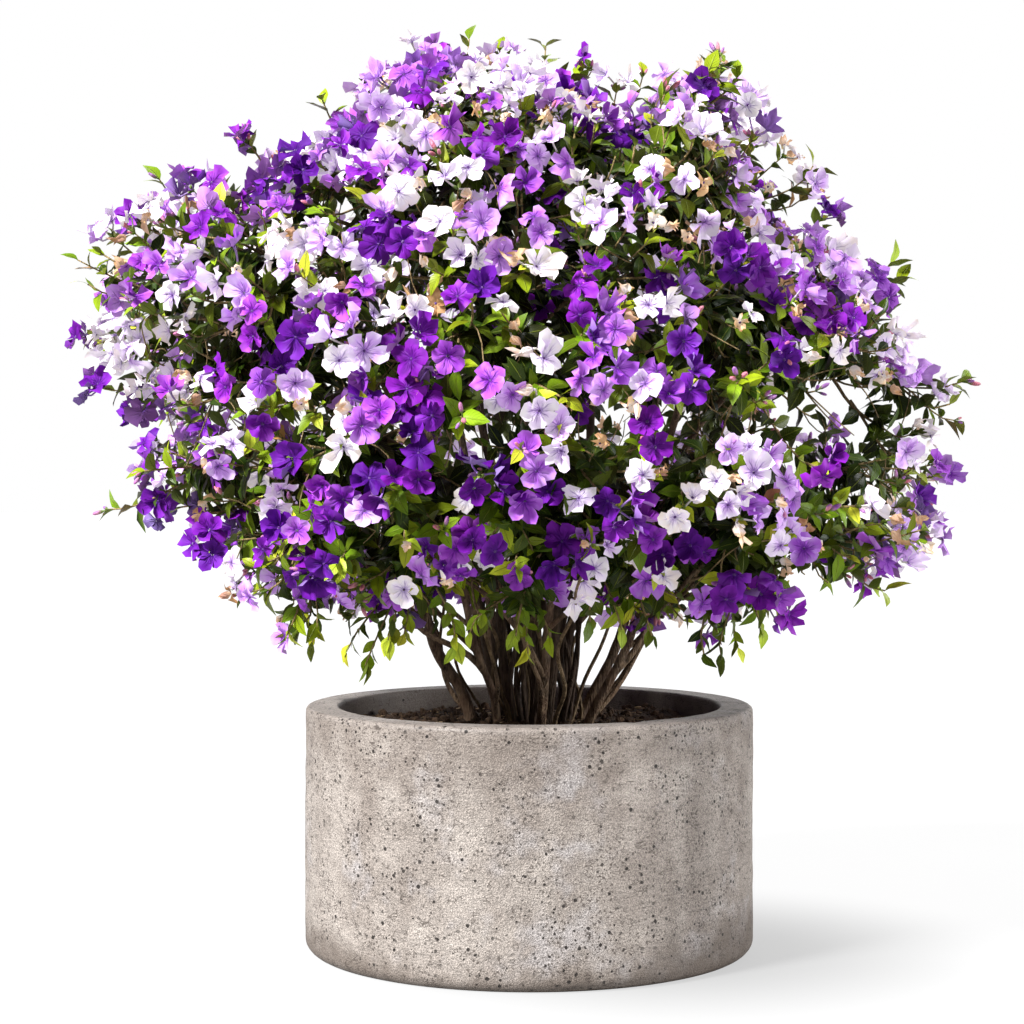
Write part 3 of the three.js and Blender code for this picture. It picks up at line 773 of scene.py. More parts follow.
# Shoots. Tips are spread evenly over the crown, some deeper in, and each belongs to the nearest branch.
shootLook = {
    "outer": 810, "deep": 380, "lowest": -62, "share": 0.90, "spread": 0.055, "deepShare": (0.40, 0.76),
    # Chances of 0 to 5 flowers on a shoot, and of 0 to 2 on a deep one
    "flowerChances": [0.33, 0.13, 0.17, 0.16, 0.13, 0.08], "deepChances": [0.45, 0.35, 0.20],
    # Flowers' ages by a patch's mood: 0 has just opened, 1 is white and 1.2 withers
    "ages": [(-0.90, 0.04), (-0.53, 0.20), (-0.30, 0.42), (-0.07, 0.70), (0.12, 0.97), (0.76, 1.02)],
    "witheredShare": 0.035, "bloomShare": 0.95, "sprigShare": 0.97, "sprigStand": 0.006,
    "followWithin": 0.075, "followShare": 0.22, "clear": (0.026, 0.040), "crossing": 0.2,
    "groups": 7, "twigRadius": (0.0026, 0.0014), "shootRadius": (0.0014, 0.0008),
    "strays": 900, "strayLength": (0.030, 0.075), "strayRadius": (0.0009, 0.0005), "strayShare": 0.93,
}


# Points of a sphere in even turns by the golden angle, a little shaken
def evenHeadings(count, shake, seed):
    draw = np.random.default_rng(seed)
    i = np.arange(count) + 0.5
    z = 1 - 2 * i / count
    turn = i * math.pi * (3 - math.sqrt(5))
    flat = np.sqrt(1 - z * z)
    even = np.stack([flat * np.cos(turn), flat * np.sin(turn), z], -1)
    return unit(even + draw.normal(0, shake, (count, 3)))


# Splits points into groups about evenly placed centres, as nearest centres moved to their groups' means
def grouped(points, count, seed):
    draw = np.random.default_rng(seed)
    centres = points[draw.permutation(len(points))[:count]]
    for _ in range(8):
        nearest = np.linalg.norm(points[:, None] - centres[None], axis=-1).argmin(1)
        centres = np.stack([
            points[nearest == i].mean(0) if (nearest == i).any() else centres[i] for i in range(len(centres))
        ])
    return nearest, centres


# The camera, as the photograph was taken. A column and row of the photograph are read at the planter's axis,
# where a metre is "scale" pixels, and are carried along the line of sight to where they are needed.
view = {
    "eye": np.array([-0.0183, -2.4533, 0.5042]), "tilt": 89.115, "lens": 80.3, "scale": 931.0,
    "axisColumn": 529.0, "horizonRow": 476.7,
}


# From the camera to the points that columns and rows show on the upright plane through the planter's axis
def sightTo(columns, rows):
    x = (columns - view["axisColumn"]) / view["scale"]
    z = view["eye"][2] - (rows - view["horizonRow"]) / view["scale"]
    return np.stack([x, 0 * x, z], -1) - view["eye"]


# Where the line of sight through a column and row meets the crown's surface at a share of its reach
def seenAt(columns, rows, share):
    sight = sightTo(columns, rows)
    near, far = np.full(len(sight), 0.75), np.ones(len(sight))
    for _ in range(20):
        half = (near + far) / 2
        inside = shareOut(view["eye"] + sight * half[:, None]) < share
        near, far = np.where(inside, near, half), np.where(inside, half, far)
    return view["eye"] + sight * far[:, None]


# The point of a line of sight at a distance from the planter's axis, forward or back
def seenAtDepth(columns, rows, depth):
    return view["eye"] + sightTo(columns, rows) * (1 - depth / view["eye"][1])[:, None]


# The column and row at which the camera sees points
def seenIn(points):
    ahead = points - view["eye"]
    plane = view["eye"] + ahead * (-view["eye"][1] / ahead[..., 1:2])
    columns = view["axisColumn"] + plane[..., 0] * view["scale"]
    return np.stack([columns, view["horizonRow"] - (plane[..., 2] - view["eye"][2]) * view["scale"]], -1)


# Gaps where the surround shows through the crown: column, row and radius in pixels. Only twigs cross them.
gaps = np.array([
    (828, 392, 15), (846, 394, 13), (862, 400, 8), (776, 400, 5),
    (808, 592, 15), (204, 602, 14), (345, 205, 6),
], float)


def inGap(points, margin):
    away = np.linalg.norm(seenIn(points)[..., None, :] - gaps[:, :2], axis=-1)
    return (away < gaps[:, 2] + margin).any(-1)


# Flower heads that show best: column, row and number of flowers, by how far they have faded
blooms = {
    0.05: [
        (645, 190, 2), (410, 350, 3), (745, 265, 4), (535, 500, 2), (380, 490, 3), (90, 388, 3),
        (590, 275, 2), (700, 90, 1), (375, 235, 3), (480, 480, 3), (300, 578, 3), (155, 495, 2),
        (850, 330, 3), (830, 470, 2), (560, 560, 3), (268, 545, 2), (585, 330, 2), (415, 385, 2),
        (655, 440, 2), (790, 350, 2),
    ],
    0.22: [
        (395, 172, 2), (240, 136, 2), (492, 140, 4), (672, 258, 1), (210, 222, 3), (305, 325, 4),
        (250, 320, 3), (132, 268, 2), (360, 375, 2), (288, 463, 1), (263, 435, 1), (200, 548, 3),
        (470, 300, 2), (585, 58, 1), (945, 467, 1), (840, 590, 1), (778, 612, 1), (620, 512, 4),
        (650, 540, 2), (735, 592, 3), (520, 580, 1), (693, 385, 2), (885, 556, 2), (830, 215, 2),
        (505, 495, 1), (208, 185, 1), (345, 180, 2), (80, 338, 2), (265, 378, 2), (220, 380, 2),
        (170, 405, 2), (440, 70, 2), (150, 455, 2), (600, 120, 2), (690, 330, 2),
    ],
    0.50: [
        (541, 228, 2), (515, 185, 2), (660, 165, 2), (345, 292, 3), (452, 365, 1), (500, 388, 2),
        (540, 465, 3), (430, 565, 3), (456, 580, 1), (600, 378, 4), (620, 325, 4), (800, 300, 2),
        (845, 275, 2), (815, 540, 3), (258, 598, 1), (282, 645, 1), (291, 531, 1), (697, 610, 1),
        (680, 110, 3), (432, 50, 2), (120, 300, 2), (230, 265, 2), (560, 150, 2), (790, 230, 2),
        (910, 380, 2), (335, 598, 2), (760, 130, 2), (470, 215, 2), (480, 100, 2),
    ],
    0.78: [
        (660, 222, 3), (610, 215, 3), (213, 465, 3), (360, 517, 1), (760, 465, 3), (735, 450, 1),
        (905, 460, 2), (905, 345, 3), (785, 545, 2), (895, 528, 2), (740, 105, 3), (815, 190, 3),
        (180, 290, 2), (500, 54, 2), (385, 110, 3), (865, 300, 2), (640, 400, 2), (700, 180, 2),
        (290, 390, 1), (330, 250, 2), (840, 250, 2), (535, 70, 1),
    ],
    1.0: [
        (408, 186, 3), (590, 192, 3), (722, 145, 3), (790, 150, 3), (150, 215, 3), (105, 350, 4),
        (298, 238, 4), (230, 290, 2), (405, 312, 3), (252, 405, 1), (340, 435, 2), (240, 575, 2),
        (575, 503, 1), (558, 443, 2), (545, 355, 3), (500, 305, 1), (525, 262, 2), (650, 308, 2),
        (940, 400, 2), (930, 547, 1), (655, 475, 2), (690, 512, 2), (665, 580, 1), (270, 160, 2),
        (448, 215, 2), (400, 550, 1), (620, 80, 2), (750, 320, 2), (560, 100, 2), (200, 250, 1),
        (535, 400, 2),
    ],
    1.32: [
        (775, 185, 2), (600, 450, 1), (630, 295, 1), (430, 265, 1), (300, 410, 1), (690, 240, 1),
        (770, 400, 1),
    ],
}
# Leafy sprigs that stand out of the outline, and those that hang below it, as columns and rows
sprigs = {
    "leafy": [
        (84, 262), (94, 286), (326, 106), (470, 46), (500, 58), (545, 54), (720, 68), (707, 74), (733, 84),
        (886, 266), (896, 280), (165, 183), (590, 78), (640, 84), (662, 100), (944, 404), (948, 420),
        (916, 528), (880, 588), (808, 170), (150, 470),
    ],
    "budded": [(114, 508), (956, 382), (716, 64)],
    "hanging": [
        (455, 646, -0.20), (470, 632, -0.22), (486, 620, -0.18), (528, 654, -0.20), (516, 636, -0.22),
        (550, 638, -0.19), (722, 660, -0.15), (704, 654, -0.15), (738, 648, -0.12), (365, 666, -0.10),
        (346, 652, -0.10), (388, 640, -0.15), (404, 634, -0.14), (312, 642, -0.05), (286, 636, -0.05),
        (622, 630, -0.20), (652, 636, -0.18), (590, 622, -0.21), (762, 628, -0.10), (434, 622, -0.16),
    ],
}


def makeCamera():
    lens = bpy.data.cameras.new("camera")
    lens.lens, lens.sensor_width = view["lens"], 36
    camera = bpy.data.objects.new("camera", lens)
    camera.location = view["eye"]
    camera.rotation_euler = (math.radians(view["tilt"]), 0, 0)
    bpy.context.scene.collection.objects.link(camera)
    bpy.context.scene.camera = camera


studio = {
    "lamps": {"key": ((-0.66, -0.55, 0.66), 8.6, 11), "side_light": ((0.98, -0.06, 0.20), 3.6, 40),
              "back_light": ((0.20, 0.86, 0.42), 1.5, 60)},
    "fill": 0.16, "floor": 0.055, "shade": (0.16, -0.02, 0.0),
    "nearGlow": 0.57, "farGlow": 0.92, "glowFrom": 0.08, "glowTo": 0.40,
}


# Plain studio: a soft light from the upper left, an even pale surround, and a pale floor with a painted soft
# shadow
def makeStudio():
    look = studio
    scene = bpy.context.scene
    scene.view_settings.view_transform = "Standard"
    for name, (way, power, softness) in look["lamps"].items():
        lamp = bpy.data.lights.new(name, "SUN")
        lamp.energy, lamp.angle = power, math.radians(softness)
        light = bpy.data.objects.new(name, lamp)
        towards = unit(np.array(way))
        light.rotation_euler = (math.acos(towards[2]), 0, math.atan2(towards[1], towards[0]) + math.pi / 2)
        scene.collection.objects.link(light)
    world = bpy.data.worlds.new("surround")
    scene.world = world
    world.use_nodes = True
    tree = world.node_tree
    seen = addNode(tree, "LightPath").outputs["Is Camera Ray"]
    strength = times(tree, seen, 1.0 - look["fill"], look["fill"])
    tree.links.new(strength, tree.nodes["Background"].inputs["Strength"])
    tree.nodes["Background"].inputs["Color"].default_value = colour(1, 1, 1)
    material, tree, shader = newMaterial("pale_floor", 0.9, 0.1)
    seen = addNode(tree, "LightPath").outputs["Is Camera Ray"]
    base = mixColours(tree, seen, colour(0.36, 0.36, 0.36), colour(*[look["floor"]] * 3))
    tree.links.new(base, shader.inputs["Base Color"])
    # Painted shadow: the floor glows to the camera only, dimmer near a point right of the planter
    place = objectPlace(tree)
    away = addNode(tree, "VectorMath", {0: place, 1: look["shade"]}, operation="DISTANCE").outputs["Value"]
    glow = ranged(tree, away, look["glowFrom"], look["glowTo"], look["nearGlow"], look["farGlow"])
    glow = times(tree, glow, seen)
    shine = addNode(tree, "CombineColor", {0: glow, 1: glow, 2: glow}).outputs[0]
    tree.links.new(shine, shader.inputs["Emission Color"])
    shader.inputs["Emission Strength"].default_value = 1.0
    material.cycles.emission_sampling = "NONE"
    mesh = bpy.data.meshes.new("floor")
    ring = spun(np.array([30.0]), np.zeros(1), 96)[0]
    mesh.from_pydata(ring.tolist(), [], [list(range(96))])
    mesh.materials.append(material)
    floor = bpy.data.objects.new("floor", mesh)
    scene.collection.objects.link(floor)


# All shoots: their tips, which way they point, and how many flowers of which age they carry
def planShoots():
    look = shootLook
    outer, deep = evenHeadings(look["outer"], 0.035, 61), evenHeadings(look["deep"], 0.06, 62)
    heading = np.concatenate([outer, deep])
    isDeep = np.arange(len(heading)) >= len(outer)
    heading, isDeep = (v[heading[:, 2] > math.sin(math.radians(look["lowest"]))] for v in (heading, isDeep))
    n = len(heading)
    share = look["share"] + crown["lumps"] * ripple(heading, 0.9, 63)
    share = share + rng.uniform(-1, 0.55, n) * look["spread"]
    share = np.where(isDeep, rng.uniform(*look["deepShare"], n), share.clip(0.78, 0.95))
    tip = crown["middle"] + heading * (share * reachOf(heading, crown["outline"]))[:, None]
    low = heading[:, 2] < -0.45
    flowers = rng.choice(6, n, p=look["flowerChances"])
    few = rng.choice(3, n, p=look["deepChances"])
    flowers = np.where(isDeep, few, np.where(low, flowers // 2, flowers))
    # Ages change from patch to patch, with some shoots out of step
    mood = ripple(tip, 0.22, 64) * 0.13 + ripple(tip, 0.07, 65) * 0.30 + rng.normal(0, 0.35, n)
    age = np.interp(mood, *zip(*look["ages"]))
    age = np.where(rng.uniform(0, 1, n) < look["witheredShare"], 1.3, age)
    kind = np.where(isDeep, "deep", "outer")
    # Shoots named from the photograph come first, and plain ones too near them give way
    rows = [(*place, faded) for faded, places in blooms.items() for place in places]
    u, v, count, faded = (np.array(values) for values in zip(*rows))
    named = seenAt(u, v, look["bloomShare"])
    named -= unit(named - crown["middle"]) * flowerLook["reach"]
    leafy = np.array(sprigs["leafy"] + sprigs["budded"], float)
    sprig = seenAt(*leafy.T, look["sprigShare"])
    sprig += unit(sprig - crown["middle"]) * look["sprigStand"]
    sprig = np.concatenate([sprig, seenAtDepth(*np.array(sprigs["hanging"], float).T)])
    sprigKind = [kind for kind in sprigs for _ in sprigs[kind]]
    gap = np.linalg.norm(tip[:, None] - np.concatenate([named, sprig])[None], axis=-1)
    nearest = gap[:, :len(named)].argmin(1)
    close = gap[:, :len(named)].min(1)
    follow = (close < look["followWithin"]) & (rng.uniform(0, 1, n) < look["followShare"]) & ~isDeep
    age = np.where(follow, faded[nearest] + rng.normal(0, 0.08, n), age)
    clear, sprigClear = look["clear"]
    keep = isDeep | ((gap.min(1) > clear) & (gap[:, len(named):].min(1) > sprigClear))
    tip = np.concatenate([named, sprig, tip[keep]])
    return {
        "tip": tip, "out": unit(tip - crown["middle"]),
        "flowers": np.concatenate([count, np.zeros(len(sprig), int), flowers[keep]]),
        "age": np.concatenate([faded, np.zeros(len(sprig)), age[keep]]),
        "kind": np.concatenate([np.full(len(named), "named"), sprigKind, kind[keep]]),
    }


# The first part of a curve: the middles between its corners, taken again and again at a share of each span
def cutShort(corners, share):
    first, second, third, fourth = (corners[:, i] for i in range(4))
    one, two, three = (a + (b - a) * share for a, b in ((first, second), (second, third), (third, fourth)))
    four, five = one + (two - one) * share, two + (three - two) * share
    return np.stack([first, one, four, four + (five - four) * share], 1)


# Twigs from each branch's hub to the middles of its groups of shoots, and the shoots that leave them
def growTwigs(shoots):
    look = shootLook
    tip, out = shoots["tip"], shoots["out"]
    fit = unit(tip - crown["middle"]) @ branchAxis.T
    shoots["branch"] = fit.argmax(1)
    twigCorners, twigBranch = [], []
    start, leave = np.zeros_like(tip), np.zeros_like(tip)
    shoots["twig"], shoots["part"] = np.zeros(len(tip), int), np.zeros(len(tip))
    for branch in range(branchCount):
        mine = np.flatnonzero(shoots["branch"] == branch)
        group, centres = grouped(tip[mine], max(3, round(len(mine) / look["groups"] * 1.25)), 70 + branch)
        draw = np.random.default_rng(90 + branch)
        hub = branchHub[branch] - branchAxis[branch] * draw.uniform(0.0, 0.035, (len(centres), 1))
        goal = hub + (centres - hub) * draw.uniform(0.62, 0.80, (len(centres), 1))
        span = np.linalg.norm(goal - hub, axis=1, keepdims=True)
        goalOut = unit(goal - crown["middle"] + draw.normal(0, 0.06, goal.shape))
        first = unit(branchAxis[branch] * 0.7 + unit(goal - hub) * 0.5)
        corners = bent(hub, first * span * 0.38, goalOut * span * 0.30, goal)
        twigCorners.append(corners)
        twigBranch.append(np.full(len(centres), branch))
        part = draw.uniform(0.55, 1.0, (len(mine), 1))
        point, way = bezier(corners[group], part)
        start[mine], leave[mine] = point[:, 0], way[:, 0]
        shoots["twig"][mine] = group + sum(len(c) for c in twigCorners[:-1])
        shoots["part"][mine] = part[:, 0]
    span = np.linalg.norm(tip - start, axis=1, keepdims=True)
    lift = unit(out + upward * 0.35 + rng.normal(0, 0.16, out.shape))
    lift = np.where((shoots["kind"] == "hanging")[:, None], unit(out + [0, 0, -0.6]), lift)
    shoots["corners"] = bent(start, leave * span * 0.36, lift * span * 0.34, tip)
    shoots["out"] = lift
    shoots["length"] = span[:, 0] * 1.05
    # Only a few shoots cross a gap
    crosses = inGap(bezier(shoots["corners"], np.linspace(0.1, 1, 12)[None])[0], 0).any(1)
    kept = ~crosses | (shoots["kind"] == "named") | (rng.uniform(0, 1, len(tip)) < look["crossing"])
    for key in shoots:
        shoots[key] = shoots[key][kept]
    # A twig ends where its last shoot leaves it
    corners, twigBranch = np.concatenate(twigCorners), np.concatenate(twigBranch)
    end = np.zeros(len(corners))
    np.maximum.at(end, shoots["twig"], shoots["part"])
    used = end > 0
    return cutShort(corners[used], end[used, None]), twigBranch[used]


leafLook = {
    "rows": 6, "spacing": 0.0072, "perShoot": 13, "length": (0.020, 0.035), "width": 0.50, "petiole": 0.0006,
    "fold": 0.34, "droop": 0.80, "perTwig": 18, "twigLength": (0.024, 0.038),
    "mature": colour(0.024, 0.046, 0.005), "middle": colour(0.240, 0.350, 0.010),
    "young": colour(0.58, 0.66, 0.045), "dry": colour(0.30, 0.17, 0.055),
    # The inner colour is painted shade for leaves deep in the crown
    "inner": colour(0.046, 0.034, 0.014), "under": colour(0.16, 0.20, 0.055),
    "rib": colour(0.27, 0.33, 0.04), "relief": 0.0008,
}


# Blades from a foot along a direction, with the face turned as near as can be to the one given. Half width
# follows the sine of the share along the blade, pointed at both ends. The blade droops on an arc and folds
# along its rib.
def leafBlades(foot, along, face, length, width, droop, fold, draw):
    n, rows = len(foot), leafLook["rows"]
    v = np.linspace(0, 1, rows)
    blade = ((v - 0.07) / 0.93).clip(0, 1)
    half = np.sin(math.pi * blade ** 0.80).clip(0, 1) ** 0.95 * (1 - 0.22 * blade)
    half = half[None] * width[:, None] / 2 + leafLook["petiole"]
    half[:, -1] = 0.0002
    along = unit(along)
    face = unit(face - (face * along).sum(-1, keepdims=True) * along)
    side = np.cross(face, along)
    bend = droop[:, None] * np.ones_like(v)
    reach = length[:, None] * np.sin(bend * v) / bend
    drop = -length[:, None] * (1 - np.cos(bend * v)) / bend
    u = np.array([-1.0, 0.0, 1.0])
    wave = np.sin(v[None] * draw.uniform(7, 12, (n, 1)) + draw.uniform(0, fullTurn, (n, 1)))
    rise = np.abs(u) * (half * (fold[:, None] + 0.16 * wave))[..., None]
    centre = foot[:, None] + along[:, None] * reach[..., None] + face[:, None] * drop[..., None]
    tip = along[:, None] * -np.sin(bend * v)[..., None] + face[:, None] * np.cos(bend * v)[..., None]
    points = centre[:, :, None] + side[:, None, None] * (half[..., None] * u)[..., None]
    points = points + tip[:, :, None] * rise[..., None]
    uv = np.stack(np.broadcast_arrays(u[None, None], v[None, :, None] * np.ones((n, 1, 1))), -1)
    return points.reshape(n, rows * 3, 3), uv.reshape(n, rows * 3, 2)


def leafMaterial():
    look = leafLook
    material, tree, shader = newMaterial("leaf", 0.40, 0.18)
    youth = attribute(tree, "youth")
    tint = attribute(tree, "tint")
    across, along, _ = addNode(tree, "SeparateXYZ", {0: addNode(tree, "UVMap").outputs["UV"]}).outputs
    place = objectPlace(tree)
    spots = mottle(tree, place, 55.0, 300.0)
    base = mixColours(tree, ranged(tree, youth, 0.0, 0.5), look["mature"], look["middle"])
    base = mixColours(tree, ranged(tree, youth, 0.45, 1.0), base, look["young"])
    base = mixColours(tree, ranged(tree, tint, 0.92, 0.93), base, look["dry"])
    # Painted shade: a tint below -0.9, given to leaves deep in the crown, turns them dark brown and dims them
    base = mixColours(tree, ranged(tree, tint, -0.9, -2.0, 0.0, 0.85), base, look["inner"])
    shade = times(tree, tint, 0.32, times(tree, spots["Blotch"], 0.3, 0.82))
    red = calculate(tree, "SINE", times(tree, tint, 9.0))
    red = times(tree, red, 0.15, shade)
    base = shaded(tree, base, red, shade)
    off = calculate(tree, "ABSOLUTE", across)
    rib = ranged(tree, off, 0.13, 0.02)
    slant = times(tree, off, -0.32, along)
    vein = calculate(tree, "ABSOLUTE", calculate(tree, "SINE", times(tree, slant, math.pi * 8)))
    vein = ranged(tree, vein, 0.16, 0.0)
    lines = calculate(tree, "MAXIMUM", rib, times(tree, vein, 0.5))
    base = mixColours(tree, times(tree, lines, 0.42), base, look["rib"])
    behind = addNode(tree, "NewGeometry").outputs["Backfacing"]
    base = mixColours(tree, times(tree, behind, 0.55), base, look["under"])
    tree.links.new(ranged(tree, youth, 0.0, 1.0, 0.30, 0.44), shader.inputs["Roughness"])
    finish(tree, shader, base, lines, look["relief"])
    return material


# The leaves of every shoot and twig, as one set of feet, directions, faces, sizes and ages
def planLeaves(shoots, twigCorners, twigBranch):
    look = leafLook
    draw = np.random.default_rng(77)
    kind = shoots["kind"]
    n, m = len(kind), look["perShoot"] + 3
    j = np.arange(m)[None] + draw.uniform(-0.3, 0.3, (n, m))
    t = (1 - j.clip(0) * look["spacing"] / shoots["length"][:, None]).clip(0.05, 1)
    foot, way = bezier(shoots["corners"], t)
    first, second = sidesOf(way)
    turn = draw.uniform(0, fullTurn, (n, 1)) + np.arange(m) * 2.399
    radial = first * np.cos(turn)[..., None] + second * np.sin(turn)[..., None]
    splay = np.radians(np.interp(j, [0, 2, 6, 12], [26, 48, 66, 76]) + draw.normal(0, 8, (n, m)))
    along = way * np.cos(splay)[..., None] + radial * np.sin(splay)[..., None]
    along = along + upward * draw.uniform(-0.12, 0.22, (n, m, 1))
    along[kind == "hanging"] += [0, 0, -0.8]
    face = unit(shoots["out"])[:, None] * 0.55 + upward * 0.55 + way * 0.35 + draw.normal(0, 0.24, (n, m, 3))
    size = np.interp(j, [0, 1, 3, 6], [0.55, 0.80, 0.98, 1.0])
    standing = np.isin(kind, ["leafy", "budded", "hanging"])[:, None]
    size = np.where(standing, np.maximum(size, 0.9), size)
    length = size * draw.uniform(*look["length"], (n, m)) * np.where(kind == "hanging", 0.82, 1.0)[:, None]
    shootYouth = draw.uniform(0, 1, (n, 1)) ** 0.80
    shootYouth = np.where(standing & (kind != "hanging")[:, None], 0.50, shootYouth)
    youth = (shootYouth * np.exp(-j.clip(0) / 4.2) * 1.25 + draw.normal(0, 0.06, (n, m))).clip(0, 1)
    youth = np.where((kind == "deep")[:, None], youth * 0.15, youth)
    some = draw.uniform(0, 1, (n, m)) < np.where(shoots["flowers"] > 2, 0.66, 0.86)[:, None]
    some &= (j < np.where(shoots["flowers"] > 0, look["perShoot"], m)[:, None]) & (j * look["spacing"] < 0.13)
    some &= ~inGap(foot + unit(along) * length[..., None] * 0.6, 5)
    shootSet = [v[some] for v in (foot, along, face, length, youth)]
    shootSet.append(np.repeat(shoots["branch"][:, None], m, 1)[some])
    k, m = len(twigCorners), look["perTwig"]
    t = draw.uniform(0.30, 1.0, (k, m))
    foot, way = bezier(twigCorners, t)
    first, second = sidesOf(way)
    turn = draw.uniform(0, fullTurn, (k, m, 1))
    radial = first * np.cos(turn) + second * np.sin(turn)
    along = way * 0.45 + radial + upward * draw.uniform(-0.2, 0.3, (k, m, 1))
    face = unit(foot - crown["middle"]) * 0.5 + upward * 0.7 + draw.normal(0, 0.3, (k, m, 3))
    length = draw.uniform(*look["twigLength"], (k, m))
    some = ~inGap(foot + unit(along) * length[..., None] * 0.6, 5)
    twigSet = [v[some] for v in (foot, along, face, length, 0.06 * np.ones((k, m)))]
    twigSet.append(np.repeat(twigBranch[:, None], m, 1)[some])
    return [np.concatenate(pair) for pair in zip(shootSet, twigSet)]


flowerLook = {
    "radius": (0.0142, 0.0196), "across": 0.78, "throat": 0.0014, "rim": 0.44, "notch": 0.07, "overlap": 0.10,
    "ruffle": 0.15, "dish": (-0.36, 0.46), "reach": 0.014, "spread": 0.0140, "apart": 0.0205, "stray": 0.012,
    "frill": 0.024, "crease": 0.110, "tilt": 0.28,
    "stages": [
        (0.00, colour(0.085, 0.002, 0.20)), (0.15, colour(0.205, 0.012, 0.42)),
        (0.30, colour(0.36, 0.10, 0.58)), (0.44, colour(0.53, 0.32, 0.71)), (0.56, colour(0.63, 0.55, 0.725)),
        (0.66, colour(0.68, 0.66, 0.70)), (0.77, colour(0.68, 0.62, 0.54)),
        (0.86, colour(0.58, 0.39, 0.20)), (1.00, colour(0.27, 0.14, 0.06)),
    ],
    # deepTone darkens the veins and paints shade into the throat and the seams between lobes
    "agesShown": 1.6, "deepTone": colour(0.085, 0.005, 0.25), "back": colour(0.62, 0.42, 0.80),
    "hueDrift": 0.28, "glow": 0.46, "withers": 0.20, "budShare": 0.30,
    "calyx": (colour(0.10, 0.19, 0.030), colour(0.22, 0.30, 0.06)),
    "neck": (colour(0.30, 0.15, 0.52), colour(0.72, 0.70, 0.62)), "mouth": colour(0.10, 0.03, 0.20),
    "budFoot": colour(0.14, 0.20, 0.035), "budTips": (colour(0.32, 0.10, 0.52), colour(0.62, 0.16, 0.22)),
    "budBlush": colour(0.75, 0.45, 0.55), "relief": 0.0010, "stalkRelief": 0.0004,
    # Share along the tube and radius, and share along the bud and radius as a share of its length
    "tube": [(0, 0.0008), (0.14, 0.0010), (0.28, 0.0022), (0.42, 0.0012), (0.80, 0.0011), (1, 0.0020)],
    "bud": [(0, 0.06), (0.25, 0.07), (0.40, 0.15), (0.62, 0.17), (0.85, 0.13), (1, 0.03)],
}


# Flowers round every shoot's tip: a centre and the way it faces, moved apart where they crowd
def planFlowers(shoots):
    look = flowerLook
    draw = np.random.default_rng(83)
    owner = np.repeat(np.arange(len(shoots["tip"])), shoots["flowers"])
    count = shoots["flowers"][owner]
    before = np.cumsum(shoots["flowers"]) - shoots["flowers"]
    order = np.arange(len(owner)) - before[owner]
    out = shoots["out"][owner]
    out = unit(out + np.where((shoots["kind"][owner] == "named")[:, None], [0.0, -0.25, 0.0], 0.0))
    first, second = sidesOf(out[:, None])
    turn = draw.uniform(0, fullTurn, len(shoots["tip"]))[owner] + order / count * fullTurn
    aside = first[:, 0] * np.cos(turn)[:, None] + second[:, 0] * np.sin(turn)[:, None]
    away = np.where(count == 1, 0.15, np.interp(count, [2, 5], [0.85, 1.35]))[:, None] * look["spread"]
    lift = look["reach"] + draw.uniform(-0.009, 0.009, (len(owner), 1))
    start = shoots["tip"][owner]
    centre = start + out * lift + aside * away
    facing = unit(out + aside * away / look["spread"] * 0.60 + draw.normal(0, 0.40, out.shape))
    home, fixed = centre.copy(), (shoots["kind"][owner] == "named")[:, None]
    for _ in range(14):
        gap = centre[:, None] - centre[None]
        distance = np.linalg.norm(gap, axis=-1) + np.eye(len(centre))
        push = (look["apart"] - distance).clip(0) * 0.5 / distance
        move = (gap * push[..., None]).sum(1)
        move -= (move * out).sum(-1, keepdims=True) * out * 0.5
        centre = centre + move * np.where(fixed, 0.35, 0.8)
        stray = centre - home
        far = np.linalg.norm(stray, axis=-1, keepdims=True)
        centre = home + stray * np.minimum(1, look["stray"] / np.maximum(far, 1e-9))
    age = (shoots["age"][owner] + draw.normal(0, 0.13, len(owner))).clip(0, 1.55)
    age = np.where((age > 1.04) & (age < 1.2), 1.04, age)
    withers = (draw.uniform(0, 1, len(owner)) < look["withers"]) & (age > 0.45)
    age = np.where(withers, 1.21 + 0.32 * draw.uniform(0, 1, len(owner)) ** 1.3, age)
    withered = age > 1.2
    radius = draw.uniform(*look["radius"], len(owner)) * np.where(withered, 0.72, 1.0)
    # Withered flowers sink back towards the stalk's foot
    centre = start + (centre - start) * np.where(withered, 0.62, 1.0)[:, None]
    facing = unit(facing - upward * np.where(withered, 0.5, 0.0)[:, None])
    flowers = {"start": start, "centre": centre, "facing": facing, "age": age, "radius": radius,
               "branch": shoots["branch"][owner], "leave": shoots["out"][owner]}
    shown = ~inGap(centre, 12)
    return {key: values[shown] for key, values in flowers.items()}


